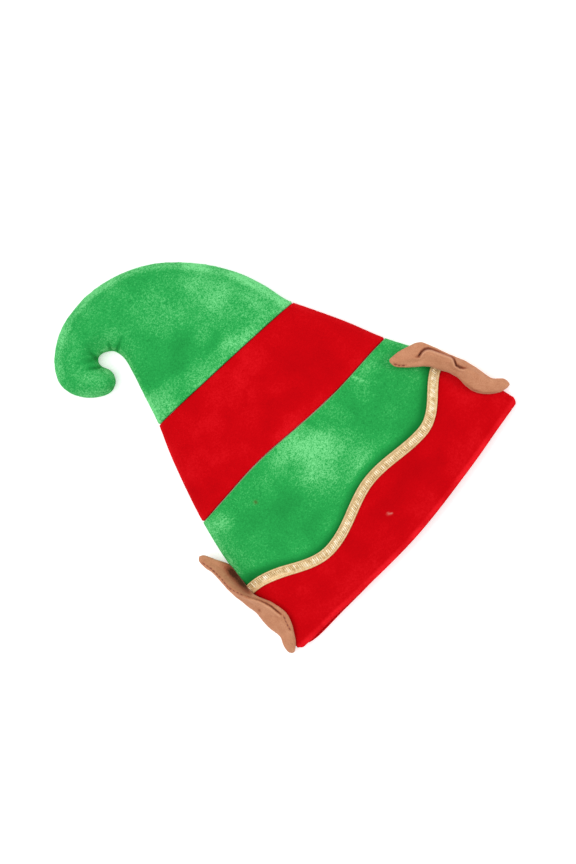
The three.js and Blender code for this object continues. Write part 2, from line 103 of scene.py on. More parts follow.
def curveAt(points, t, closed=False):  # a smooth curve through evenly counted points, t from 0 to 1
    points = np.asarray(points, float)
    if closed:
        padded = np.concatenate([points[-1:], points, points[:2]])
        spans = len(points)
        t = np.mod(np.asarray(t, float), 1) * spans
    else:
        padded = np.concatenate([2 * points[:1] - points[1:2], points, 2 * points[-1:] - points[-2:-1]])
        spans = len(points) - 1
        t = np.clip(np.asarray(t, float), 0, 1) * spans
    k = np.minimum(t.astype(int), spans - 1)
    w = (t - k).reshape(t.shape + (1,) * (points.ndim - 1))
    a, b, c, d = padded[k], padded[k + 1], padded[k + 2], padded[k + 3]
    startSlope, endSlope = (c - a) / 2, (d - b) / 2
    return ((2 * b - 2 * c + startSlope + endSlope) * w**3
            + (-3 * b + 3 * c - 2 * startSlope - endSlope) * w**2 + startSlope * w + b)


def tableAt(xs, ys, x):  # a smooth value through uneven table rows
    xs, ys, x = np.asarray(xs, float), np.asarray(ys, float), np.asarray(x, float)
    k = np.clip(np.searchsorted(xs, x, side="left") - 1, 0, len(xs) - 2)
    before, after = np.maximum(k - 1, 0), np.minimum(k + 2, len(xs) - 1)
    span = xs[k + 1] - xs[k]
    t = np.clip((x - xs[k]) / span, 0, 1)
    slopeIn = (ys[k + 1] - ys[before]) / (xs[k + 1] - xs[before]) * span
    slopeOut = (ys[after] - ys[k]) / (xs[after] - xs[k]) * span
    return ((2 * t**3 - 3 * t**2 + 1) * ys[k] + (t**3 - 2 * t**2 + t) * slopeIn
            + (3 * t**2 - 2 * t**3) * ys[k + 1] + (t**3 - t**2) * slopeOut)


def softNoise(x, y, size, seed):  # smooth lumps about size across, from -1 to 1
    cells = 64
    lattice = np.random.default_rng(seed).uniform(-1, 1, (cells, cells))
    x, y = np.asarray(x) / size + cells / 2, np.asarray(y) / size + cells / 4
    i, j = np.floor(x).astype(int), np.floor(y).astype(int)
    u, v = x - i, y - j
    u, v = u * u * (3 - 2 * u), v * v * (3 - 2 * v)
    i, j, i1, j1 = i % cells, j % cells, (i + 1) % cells, (j + 1) % cells
    low = lattice[i, j] * (1 - u) + lattice[i1, j] * u
    high = lattice[i, j1] * (1 - u) + lattice[i1, j1] * u
    return low * (1 - v) + high * v


sectionScale = np.array([hatForm["hemHalfWidth"], hatForm["hatHeight"]])
leftEdge = np.array(hatForm["left"]) * sectionScale
rightEdge = np.array(hatForm["right"]) * sectionScale
sectionHeights = np.column_stack([np.array(hatForm["bottom"]) * hatForm["seamHeight"],
                                  np.array(hatForm["top"]) * hatForm["loft"]])


def planPoint(across, along):
    share = ((1 + np.asarray(across)) / 2)[..., None]
    return curveAt(leftEdge, along) * (1 - share) + curveAt(rightEdge, along) * share


def alongAt(across, up):  # how far along the hat a height is, below the bend
    across, up = np.broadcast_arrays(np.asarray(across, float), np.asarray(up, float))
    low, high = np.zeros(across.shape), np.full(across.shape, float(hatForm["bendStart"]))
    for step in range(26):
        middle = (low + high) / 2
        below = planPoint(across, middle)[..., 1] < up
        low, high = np.where(below, middle, low), np.where(below, high, middle)
    return (low + high) / 2


def hemUp(across, layer):
    corner = np.maximum(0, (np.abs(across) - hem["cornerStart"]) / (1 - hem["cornerStart"]))
    return -hem["drop"] * tableAt(hem["across"], hem[layer], across) + hem["corner"] * corner**2


def waveUp(across):
    xs, ys = np.array(wave["across"]), np.array(wave["up"])
    k = np.clip(np.searchsorted(xs, across, side="left") - 1, 0, len(xs) - 2)
    t = np.clip((across - xs[k]) / (xs[k + 1] - xs[k]), 0, 1)
    return wave["height"] * (ys[k] + (ys[k + 1] - ys[k]) * (1 - np.cos(np.pi * t)) / 2)


def waveSlant(across):
    step = 0.01
    rise = waveUp(np.minimum(across + step, 1)) - waveUp(np.maximum(across - step, -1))
    return np.hypot(1, rise / (2 * step * hatForm["hemHalfWidth"]))


def seamUp(seam, across):
    straight = (seam["left"] * (1 - across) + seam["right"] * (1 + across)) / 2
    return (straight - seam["bend"] * np.sin(np.pi * across) * (1 - across**2)) * hatForm["hatHeight"]


def dentDepth(plan):
    depth = np.zeros(plan.shape[:-1])
    for dent in dents:
        x = (plan[..., 0] / hatForm["hemHalfWidth"] - dent["across"]) / dent["wide"]
        y = (plan[..., 1] / hatForm["hatHeight"] - dent["up"]) / dent["tall"]
        depth += dent["depth"] * hatForm["loft"] * np.exp(-x**2 - y**2)
    return depth


# A point of the hat's outer surface. lean is 0 at the right side seam and half a turn at the left one, and on
# the back it stays a quarter turn all over the flat. lift raises the back off the table.
def surfacePoint(layer, across, lean, along, outset=0.0, lift=0.0):
    bottom, top = np.moveaxis(curveAt(sectionHeights, along), -1, 0)
    bottom = np.maximum(bottom, 0)
    left, right = curveAt(leftEdge, along), curveAt(rightEdge, along)
    halfWidth = np.linalg.norm(right - left, axis=-1) / 2
    outward = (right - left) / (2 * halfWidth[..., None])
    if layer == "front":
        springs = hatForm["seamHeight"] + hatForm["seamGap"] / 2
        reach = across * (halfWidth + outset)
        dome = np.maximum(np.sin(lean), 0) ** hatForm["frontRoundness"]
        z = springs + (top - springs + outset - dentDepth(planPoint(across, along))) * dome
    else:
        springs = hatForm["seamHeight"] - hatForm["seamGap"] / 2
        radius = np.minimum(springs - bottom - lift, halfWidth * hatForm["widestEdge"])
        reach = across * (halfWidth - radius) + np.sign(across) * (radius + outset) * np.cos(lean)
        z = springs - (springs - bottom - lift + outset) * np.sin(lean)
    plan = (left + right) / 2 + outward * reach[..., None]
    return np.concatenate([plan, z[..., None]], axis=-1)


# Where the hat's axes lie in the frame: the band's lowest point and its right corner fix them
cornerAcross = np.array([1.0])
hemCorner = planPoint(cornerAcross, alongAt(cornerAcross, hemUp(cornerAcross, "front")))[0]
bandLow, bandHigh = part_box("band_front")
hatOrigin = np.array([bandHigh[0] - hemCorner[0] * mm, bandLow[1] + hem["drop"] * mm, 0])
print("hat axes in the frame:", hatOrigin)


def toFrame(points):
    return np.asarray(points) * mm + hatOrigin


# Materials
def linear(hexColour):
    channels = [int(hexColour[k:k + 2], 16) / 255 for k in (1, 3, 5)]
    return [c / 12.92 if c <= 0.04045 else ((c + 0.055) / 1.055) ** 2.4 for c in channels] + [1]


# links gives an input's name or number a value or another socket, and stops are a ramp's places and colours
def addNode(tree, kind, links={}, stops=(), **settings):
    made = tree.nodes.new(kind)
    for name, value in settings.items():
        setattr(made, name, value)
    for key, value in links.items():
        if isinstance(value, bpy.types.NodeSocket):
            tree.links.new(value, made.inputs[key])
        else:
            made.inputs[key].default_value = value
    for spare in stops[2:]:
        made.color_ramp.elements.new(0.5)
    for index, (place, colour) in enumerate(stops):
        made.color_ramp.elements[index].position = place
        made.color_ramp.elements[index].color = linear(colour)
    return made


def newMaterial(name):
    material = bpy.data.materials.new(name)
    material.use_nodes = True
    material.node_tree.nodes.clear()
    return material, material.node_tree


# Polyester velour, knitted and sheared: a short upright pile. It looks light where it leans towards the eye
# and deep where it leans away, in soft brushed patches with a fine crumbly grain over them. Lint and the
# pale ground at a seam's edge show through it.
velour = {
    "patchSize": 26 * mm,
    "grainSize": 2.1 * mm,
    "pileSize": 1.0 * mm,  # real tufts are 0.2 mm, drawn coarser so that they show
    "pileDepth": 0.25 * mm,
    "contrast": (1.4, -0.06),  # the grain is stronger where the pile looks light
    "roughness": 0.9,
    "sheenRoughness": 0.3,
    "lint": "#f0c8b8",
    "soil": "#5a3c1c",
}
greenDye = {"deep": "#0e7430", "middle": "#27a24c", "light": "#76d688", "sheenTint": "#a8f0b4",
            "specular": 0.08, "sheen": 0.2, "patch": 0.4, "grain": 1.0, "pile": 1.15}
redDye = {"deep": "#9c0007", "middle": "#c1030c", "light": "#e61a24", "sheenTint": "#ff2020",
          "specular": 0.03, "sheen": 0.04, "patch": 0.6, "grain": 0.5, "pile": 0.5}


def makeVelour(name, dye):
    material, tree = newMaterial(name)
    place = addNode(tree, "ShaderNodeTexCoord").outputs["Object"]
    # the pile's tone, with painted light added: sheen on the rims, shade in folds and beside the braid, and a
    # highlight on the hem's fold
    tone = addNode(tree, "ShaderNodeAttribute", attribute_name="pileToneAndPaintedLight").outputs["Fac"]
    fleck = addNode(tree, "ShaderNodeAttribute", attribute_name="fleck").outputs["Fac"]
    patches = addNode(tree, "ShaderNodeTexNoise", {"Vector": place, "Scale": 1 / velour["patchSize"],
                                                   "Detail": 3.0, "Roughness": 0.5, "Distortion": 0.5})
    grain = addNode(tree, "ShaderNodeTexNoise", {"Vector": place, "Scale": 1 / velour["grainSize"],
                                                 "Detail": 3.0, "Roughness": 0.65})
    pile = addNode(tree, "ShaderNodeTexNoise", {"Vector": place, "Scale": 1 / velour["pileSize"],
                                                "Detail": 1.0, "Roughness": 0.5})
    uneven = -(dye["patch"] + dye["grain"] + dye["pile"]) / 2
    for noise, weight in ((patches, dye["patch"]), (grain, dye["grain"]), (pile, dye["pile"])):
        uneven = addNode(tree, "ShaderNodeMath", {0: noise.outputs["Fac"], 1: weight, 2: uneven},
                         operation="MULTIPLY_ADD").outputs[0]
    contrast = addNode(tree, "ShaderNodeMath", {0: tone, 1: velour["contrast"][0], 2: velour["contrast"][1]},
                       operation="MULTIPLY_ADD")
    lean = addNode(tree, "ShaderNodeMath", {0: uneven, 1: contrast.outputs[0], 2: tone},
                   operation="MULTIPLY_ADD")
    dyed = addNode(tree, "ShaderNodeValToRGB", {"Fac": lean.outputs[0]},
                   [(0.0, dye["deep"]), (0.5, dye["middle"]), (1.0, dye["light"])])
    linty = addNode(tree, "ShaderNodeMix", {0: fleck, 6: dyed.outputs["Color"], 7: linear(velour["lint"])},
                    data_type="RGBA")
    soil = addNode(tree, "ShaderNodeMath", {0: fleck, 1: -1.0}, operation="MULTIPLY", use_clamp=True)
    soiled = addNode(tree, "ShaderNodeMix", {0: soil.outputs[0], 6: linty.outputs[2],
                                             7: linear(velour["soil"])}, data_type="RGBA")
    height = addNode(tree, "ShaderNodeMath", {0: grain.outputs["Fac"], 1: pile.outputs["Fac"]},
                     operation="ADD")
    bump = addNode(tree, "ShaderNodeBump", {"Strength": 0.6, "Distance": velour["pileDepth"],
                                            "Height": height.outputs[0]})
    shader = addNode(tree, "ShaderNodeBsdfPrincipled", {
        "Base Color": soiled.outputs[2], "Roughness": velour["roughness"],
        "Specular IOR Level": dye["specular"], "Sheen Weight": dye["sheen"],
        "Sheen Roughness": velour["sheenRoughness"], "Sheen Tint": linear(dye["sheenTint"]),
        "Normal": bump.outputs["Normal"]})
    addNode(tree, "ShaderNodeOutputMaterial", {"Surface": shader.outputs[0]})
    return material


# The knitted back of the velour is flat and dull, with loops in the same dye
backing = {"loopSize": 1.2 * mm, "loopDepth": 0.2 * mm, "roughness": 0.95, "specular": 0.1}


def makeBacking(name, deep, light):
    material, tree = newMaterial(name)
    place = addNode(tree, "ShaderNodeTexCoord").outputs["Object"]
    loops = addNode(tree, "ShaderNodeTexNoise", {"Vector": place, "Scale": 1 / backing["loopSize"],
                                                 "Detail": 2.0}).outputs["Fac"]
    dyed = addNode(tree, "ShaderNodeValToRGB", {"Fac": loops}, [(0.3, deep), (0.7, light)])
    bump = addNode(tree, "ShaderNodeBump", {"Strength": 0.5, "Distance": backing["loopDepth"],
                                            "Height": loops})
    shader = addNode(tree, "ShaderNodeBsdfPrincipled", {
        "Base Color": dyed.outputs["Color"], "Roughness": backing["roughness"],
        "Specular IOR Level": backing["specular"], "Normal": bump.outputs["Normal"]})
    addNode(tree, "ShaderNodeOutputMaterial", {"Surface": shader.outputs[0]})
    return material


greenVelour = makeVelour("green_velour_sheared", greenDye)
redVelour = makeVelour("red_velour_sheared", redDye)
greenBacking = makeBacking("green_knit_back", "#15602c", "#22803f")
redBacking = makeBacking("red_knit_back", "#7a060c", "#a00c14")
print("velour ready")


# The cloth panels
panels = {
    "cloth": 1.4,  # mm, the velour with its foam
    "roll": 1.5,  # radius of each sewn edge, which turns in to the seam
    "flange": 2.2,  # how deep the seam allowance goes in
    "hemFold": 1.7,  # radius of the fold at the hem
    "hemTurn": 17,  # of cloth turned up inside the hem
    "hemTurnRows": [1, 0.7, 0.4, 0.2],  # shares of it, from its end
    "hemFoldRows": 9,
    "seamRows": [0, 0.25, 0.6, 1.0, 1.5, 2.2, 3.2, 4.5],  # mm from a seam
    "tipRows": [0, 1.0, 2.5, 4.5],  # mm from the curl's point
    "arcRows": [6.2, 8.5],  # and on over the back's rounded edges
    "rowPitch": 1.35,
    "frontPitch": 1.3,
    "backCoarser": 1.9,  # the back's pitch against the front's
    "typicalWidth": 118,
    "typicalRise": 26,
    "fineSteps": 4001, "lengthSteps": 60,  # to measure lengths by
    "tipEnd": 0.999,  # how far along the hat the peak reaches
}
# How far the front is drawn in at a seam, and how far from it
valleys = {
    "wave": {"depth": 2.4, "reach": 9},
    "stripe": {"depth": 0.9, "reach": 6},
    "side": {"depth": 0.5, "reach": 6},
}
# Soft folds and brushed streaks in the front, as lines in plan from their deep end. tone is how much lighter:
# the darker folds and puckers are painted shade, the lighter flat streaks brushed pile.
folds = [
    {"from": (8, 126), "to": (66, 53), "wide": 5, "depth": 1.0, "tone": -0.06},
    {"from": (9, 125), "to": (13, 107), "wide": 2.2, "depth": 0.4, "tone": -0.16},
    {"from": (-30, 232), "to": (-58, 293), "wide": 6, "depth": 0.7, "tone": 0},
    {"from": (-71.5, 296.5), "to": (-70.6, 306), "wide": 1.3, "depth": 1.6, "tone": -0.4},
    {"from": (-60, 292), "to": (-54.4, 300), "wide": 1.2, "depth": 1.5, "tone": -0.42},
    {"from": (-57, 289.6), "to": (-43, 294), "wide": 1.5, "depth": 1.7, "tone": -0.46},
    {"from": (-75, 292), "to": (-83.5, 298), "wide": 1.4, "depth": 1.6, "tone": -0.4},
    {"from": (-73, 299), "to": (-86, 307), "wide": 1.8, "depth": 1.2, "tone": -0.22},
    {"from": (-66, 293), "to": (-66, 301), "wide": 1.2, "depth": 1.2, "tone": -0.2},
    {"from": (95, 110), "to": (60, 122), "wide": 6, "depth": 0.9, "tone": 0},
    {"from": (64.3, 121.3), "to": (69.5, 106.2), "wide": 1.1, "depth": 0, "tone": 0.4},
    {"from": (74, 104), "to": (78, 96), "wide": 1.0, "depth": 0, "tone": 0.2},
    {"from": (-112, 60), "to": (-70, 48), "wide": 7, "depth": -0.8, "tone": 0.04},
    {"from": (100, 30), "to": (30, 14), "wide": 10, "depth": 0.9, "tone": 0},
]
foldFade = 0.6  # how much weaker a fold is at its far end
# Little gathers beside the seams, and unevenness of the cloth: length, depth, reach and size in mm
unevenness = {
    "seamGather": {"length": 11, "depth": 0.26, "reach": 6, "seeds": (21, 22)},
    "sideGather": {"length": 10, "depth": 0.34, "reach": 7, "seeds": (23, 24)},
    "drift": {"size": 1.7, "sway": 2.2, "even": 0.6},  # of the gathers, size against their length
    "slow": {"size": 34, "depth": 0.4, "seed": 5},
    "quick": {"size": 13, "depth": 0.18, "seed": 9},
    "tufts": {"depth": 0.1, "seed": 3},  # how far single tufts stand out
    "backShare": 0.4,
    "braidClear": (3, 8),  # smooth this far from the wavy seam, then fading in over this length
    "sideFade": 12,
    "edgeFade": 3, "backEdgeFade": 2,
}


def lineDistance(points, start, end):  # in plan, distance from a stretch of line and the share along it
    start, end = np.array(start, float), np.array(end, float)
    along, offset = end - start, points[..., :2] - start
    share = np.clip(offset @ along / (along @ along), 0, 1)
    return np.linalg.norm(offset - share[..., None] * along, axis=-1), share


def foldsAt(plan, effect):
    total = np.zeros(plan.shape[:-1])
    for fold in folds:
        distance, share = lineDistance(plan, fold["from"], fold["to"])
        total += fold[effect] * np.exp(-(distance / fold["wide"])**2) * (1 - foldFade * share)
    return total


def valley(name, distance):
    return valleys[name]["depth"] * np.exp(-distance / valleys[name]["reach"])


def frontLeans():  # from the right side seam over to the left one, crowded beside the seams
    near = (np.array(panels["seamRows"]) / panels["typicalRise"]) ** (1 / hatForm["frontRoundness"])
    fine = np.linspace(near[-1], np.pi - near[-1], panels["fineSteps"])
    x = panels["typicalWidth"] * np.cos(fine)
    z = panels["typicalRise"] * np.sin(fine) ** hatForm["frontRoundness"]
    length = np.concatenate([[0], np.cumsum(np.hypot(np.diff(x), np.diff(z)))])
    count = int(length[-1] / panels["frontPitch"])
    middle = np.interp(np.linspace(0, length[-1], count), length, fine)
    lean = np.concatenate([near[:-1], middle, np.pi - near[:-1][::-1]])
    return np.cos(lean), lean


def backLeans():
    near = np.array(panels["seamRows"] + panels["arcRows"]) / hatForm["seamHeight"]
    count = int(2 * panels["typicalWidth"] / (panels["frontPitch"] * panels["backCoarser"]))
    across = np.concatenate([np.ones(len(near)), np.linspace(1, -1, count), -np.ones(len(near))])
    return across, np.concatenate([near, np.full(count, np.pi / 2), near[::-1]])


def rowShares(length, lowerNear, upperNear, pitch):  # shares of the way up, for each column
    lower, upper = np.array(lowerNear, float), np.array(upperNear, float)
    middle = int((np.median(length) - lower[-1] - upper[-1]) / pitch)
    steps = np.linspace(0, 1, middle + 2)[1:-1, None]
    rows = [d / length for d in lower]
    rows += list((lower[-1] + (length - lower[-1] - upper[-1]) * steps) / length)
    rows += [1 - d / length for d in upper[::-1]]
    return np.array(rows)


def gridNormals(points, outward):
    normals = np.cross(np.gradient(points, axis=0), np.gradient(points, axis=1)) * outward
    return normals / np.maximum(np.linalg.norm(normals, axis=-1, keepdims=True), 1e-9)


def lengthAlong(points, axis):
    steps = np.linalg.norm(np.diff(points, axis=axis), axis=-1)
    start = np.zeros_like(np.take(steps, [0], axis=axis))
    return np.concatenate([start, np.cumsum(steps, axis=axis)], axis=axis)


def rollIn(distance, radius):  # how far a sewn edge has turned in, at a distance from its seam
    inside = np.clip(radius - distance, 0, radius)
    return radius - np.sqrt(np.maximum(radius**2 - inside**2, 0))


def meshFromGrid(name, points, outward, materials, attributes, closedRows=False, closedColumns=False):
    rows, columns = points.shape[:2]
    index = np.arange(rows * columns).reshape(rows, columns)
    if closedColumns:
        index = np.concatenate([index, index[:, :1]], axis=1)
    if closedRows:
        index = np.concatenate([index, index[:1]])
    a, b, c, d = index[:-1, :-1], index[1:, :-1], index[1:, 1:], index[:-1, 1:]
    faces = np.stack([a, b, c, d] if outward > 0 else [a, d, c, b], axis=-1).reshape(-1, 4)
    mesh = bpy.data.meshes.new(name)
    mesh.from_pydata(toFrame(points).reshape(-1, 3), [], faces.tolist())
    for material in materials:
        mesh.materials.append(material)
    for label, values in attributes.items():
        attribute = mesh.attributes.new(label, "FLOAT", "POINT")
        attribute.data.foreach_set("value", np.asarray(values, float).ravel())
    mesh.shade_smooth()
    piece = bpy.data.objects.new(name, mesh)
    scene.collection.objects.link(piece)
    return piece


def closeUp(piece):  # fills the holes that are left and points every face outwards
    worker = bmesh.new()
    worker.from_mesh(piece.data)
    bmesh.ops.holes_fill(worker, edges=[edge for edge in worker.edges if edge.is_boundary])
    bmesh.ops.triangulate(worker, faces=[face for face in worker.faces if len(face.verts) > 4])
    bmesh.ops.recalc_face_normals(worker, faces=worker.faces)
    worker.to_mesh(piece.data)
    worker.free()


def applyModifiers(piece):
    graph = bpy.context.evaluated_depsgraph_get()
    made = bpy.data.meshes.new_from_object(piece.evaluated_get(graph))
    piece.modifiers.clear()
    old = piece.data
    piece.data = made
    bpy.data.meshes.remove(old)
    made.name = piece.name


def thicken(piece, thickness):
    solid = piece.modifiers.new("cloth", "SOLIDIFY")
    solid.thickness = thickness * mm
    solid.offset = -1
    solid.material_offset = 1
    applyModifiers(piece)


# Where the pile leans and looks lighter or deeper: place and reach in mm, and how much lighter. The deeper
# spot beside the braid at the right is painted shade in the dip above it.
pileSpotsAndShade = [
    {"x": 30, "y": 252, "wide": 30, "tall": 32, "tone": 0.14},
    {"x": 54, "y": 226, "wide": 24, "tall": 14, "tone": 0.12},
    {"x": -12, "y": 246, "wide": 16, "tall": 16, "tone": -0.15},
    {"x": 12, "y": 232, "wide": 14, "tall": 6, "tone": -0.16},
    {"x": 60, "y": 250, "wide": 8, "tall": 22, "tone": -0.1},
    {"x": -30, "y": 285, "wide": 34, "tall": 46, "tone": -0.02},
    {"x": -42, "y": 240, "wide": 26, "tall": 26, "tone": -0.12},
    {"x": -86, "y": 290, "wide": 9, "tall": 11, "tone": 0.07},
    {"x": -13, "y": 98, "wide": 34, "tall": 27, "tone": 0.28},
    {"x": 12, "y": 68, "wide": 18, "tall": 10, "tone": 0.07},
    {"x": -12, "y": 122, "wide": 18, "tall": 9, "tone": 0.12},
    {"x": 21, "y": 107, "wide": 9, "tall": 14, "tone": -0.08},
    {"x": -62, "y": 86, "wide": 38, "tall": 38, "tone": -0.22},
    {"x": 60, "y": 92, "wide": 40, "tall": 34, "tone": -0.05},
    {"x": -44, "y": 53, "wide": 12, "tall": 7, "tone": 0.1},
    {"x": -108, "y": 122, "wide": 13, "tall": 9, "tone": 0.16},
    {"x": 84, "y": 116, "wide": 15, "tall": 7, "tone": 0.18},
    {"x": 78, "y": 57, "wide": 28, "tall": 14, "tone": -0.2},
    {"x": 45, "y": 88, "wide": 14, "tall": 24, "tone": -0.1},
    {"x": 60, "y": 165, "wide": 45, "tall": 30, "tone": -0.1},
    {"x": -15, "y": 185, "wide": 14, "tall": 22, "tone": 0.14},
    {"x": 20, "y": 24, "wide": 60, "tall": 14, "tone": -0.16},
]
# Rims are lighter strips along the side seams, painted sheen where the cloth turns away, widths in plan:
# strength, full to, gone at.
# Seam bands are the same along the seams below and the hem: on the crown painted shade in the valley beside
# the braid, on the band a painted highlight on the hem's fold, on the peak and stripe lighter strips.
edgeSheenAndShade = {
    "right": {"peak": (0.3, 5, 11), "crown": (0.16, 3, 7), "stripe": (0.1, 3, 7), "band": (0, 1, 2)},
    "left": {"peak": (0.16, 2, 5), "crown": (0.14, 3, 7), "stripe": (0.1, 1, 4), "band": (0, 1, 2)},
    "below": {"peak": (0.16, 7, 13), "crown": (-0.5, 5, 16), "stripe": (0.04, 4, 12), "band": (0.3, 3, 6)},
}
# the painted sheen on the peak's right rim fades from the top round to the curl
curlFade = {"from": 0.35, "to": 0.7, "keep": 0.4}  # the right rim weakens from the top round to the curl
# Brushed patches, stronger where the pile is lighter, up to most. edge is how sharply they end.
mottles = {"size": 15, "everywhere": 0.05, "inLight": 0.3, "most": 0.3, "edge": 2.5, "seed": 41}
# Lint, soil and a pale ground line: place and size in mm, above 0 for pale
flecks = [
    {"x": -4.2, "y": 19.0, "wide": 0.8, "amount": 0.55},
    {"x": -2.6, "y": 17.2, "wide": 0.7, "amount": 0.45},
    {"x": -73, "y": 112, "wide": 1.5, "amount": -0.75},
]
paleGround = {"amount": 0.35, "from": 0.3, "to": 0.9}  # beside the lower stripe seam


def softPuckers(s, distance, gather, seed):  # little gathers beside a seam, s runs along it
    drift = unevenness["drift"]
    slow = softNoise(s, np.zeros_like(s), gather["length"] * drift["size"], seed)
    waves = np.sin(s * 2 * np.pi / gather["length"] + drift["sway"] * slow)
    strength = drift["even"] + (1 - drift["even"]) * slow
    return gather["depth"] * strength * waves * np.exp(-distance / gather["reach"])


# distances are in plan from the right and left edges and the lower seam, and shares the way up the panel
def pileToneAndPaintedLight(kind, layer, points, distances, shares):
    lighter = np.zeros(points.shape[:-1])
    if layer == "front":
        for spot in pileSpotsAndShade:
            x = (points[..., 0] - spot["x"]) / spot["wide"]
            y = (points[..., 1] - spot["y"]) / spot["tall"]
            lighter += spot["tone"] * np.exp(-x**2 - y**2)
        # painted sheen along the side rims; along the seam below, painted shade on the crown and a painted
        # highlight on the band's hem
        for edge, distance in distances.items():
            strength, fullTo, goneAt = edgeSheenAndShade[edge][kind]
            fade = np.clip((goneAt - distance) / (goneAt - fullTo), 0, 1)
            if kind == "peak" and edge == "right":
                reached = (shares - curlFade["from"]) / (curlFade["to"] - curlFade["from"])
                strength = strength * (1 - (1 - curlFade["keep"]) * np.clip(reached, 0, 1))
            lighter += strength * fade * fade * (3 - 2 * fade)
        lighter += foldsAt(points, "tone")
    brushed = np.tanh(mottles["edge"] * softNoise(points[..., 0], points[..., 1], mottles["size"],
                                                  mottles["seed"]))
    patchy = mottles["everywhere"] + mottles["inLight"] * np.clip(lighter, 0, mottles["most"])
    return 0.5 + lighter + patchy * brushed


def fleckAmount(kind, layer, points, toUpper):
    amount = np.zeros(points.shape[:-1])
    if layer == "front":
        for spot in flecks:
            away = np.hypot(points[..., 0] - spot["x"], points[..., 1] - spot["y"]) / spot["wide"]
            amount += spot["amount"] * np.exp(-away**2)
        if kind == "crown":
            ground = np.clip((paleGround["to"] - toUpper) / (paleGround["to"] - paleGround["from"]), 0, 1)
            amount += paleGround["amount"] * ground
    return amount


# How far a panel's outer face lies in from the smooth hat: valleys and rolled edges at its seams, folds,
# gathers and slow unevenness
def panelInset(layer, base, seams, fromRight, toLeft, downRow, toUpper):
    roll, side = panels["roll"], np.minimum(fromRight, toLeft)
    inset = rollIn(fromRight, roll) + rollIn(toLeft, roll)
    edge = np.minimum(side, np.minimum(downRow, toUpper))
    rough = np.zeros(base.shape[:2])
    for name, run, distances in (("seamGather", fromRight, (downRow, toUpper)),
                                 ("sideGather", downRow, (fromRight, toLeft))):
        gather = unevenness[name]
        for distance, seed in zip(distances, gather["seeds"]):
            rough = rough + softPuckers(run, distance, gather, seed)
    for name in ("slow", "quick"):
        lump = unevenness[name]
        rough = rough + lump["depth"] * softNoise(base[..., 0], base[..., 1], lump["size"], lump["seed"])
    for seam, distance in zip(seams, (downRow, toUpper)):
        if seam:
            inset = inset + rollIn(distance, roll)
        if seam == "wave":
            smoothTo, fadeOver = unevenness["braidClear"]
            rough = rough * np.clip((distance - smoothTo) / fadeOver, 0, 1)
    inset = np.minimum(inset, roll)
    if layer == "back":
        fade = np.clip(edge / unevenness["backEdgeFade"], 0, 1)
        return inset + np.maximum(rough * unevenness["backShare"], 0) * fade
    for seam, distance in zip(seams, (downRow, toUpper)):
        if seam in valleys:
            inset = inset + valley(seam, distance) * np.clip(side / unevenness["sideFade"], 0, 1)
    inset = inset + valley("side", fromRight) + valley("side", toLeft)
    tuft = unevenness["tufts"]
    tufts = tuft["depth"] * np.random.default_rng(tuft["seed"]).uniform(-1, 1, base.shape[:2])
    folded = foldsAt(base, "depth") + rough
    return inset + folded * np.clip(edge / unevenness["edgeFade"], 0, 1) + tufts * np.clip(edge, 0, 1)


def hemFoldRows(base, normals):  # the cloth turned up inside, and the fold itself, up to the outer face
    radius, turnUp = panels["hemFold"], panels["hemTurn"]
    up = base[3] - base[0]
    up /= np.linalg.norm(up, axis=-1, keepdims=True)
    rows = [base[0] + up * share * turnUp - normals[0] * 2 * radius for share in panels["hemTurnRows"]]
    for angle in np.linspace(np.pi, 0, panels["hemFoldRows"]):
        rows.append(base[0] + up * radius * (1 - np.sin(angle)) - normals[0] * radius * (1 - np.cos(angle)))
    return np.array(rows)


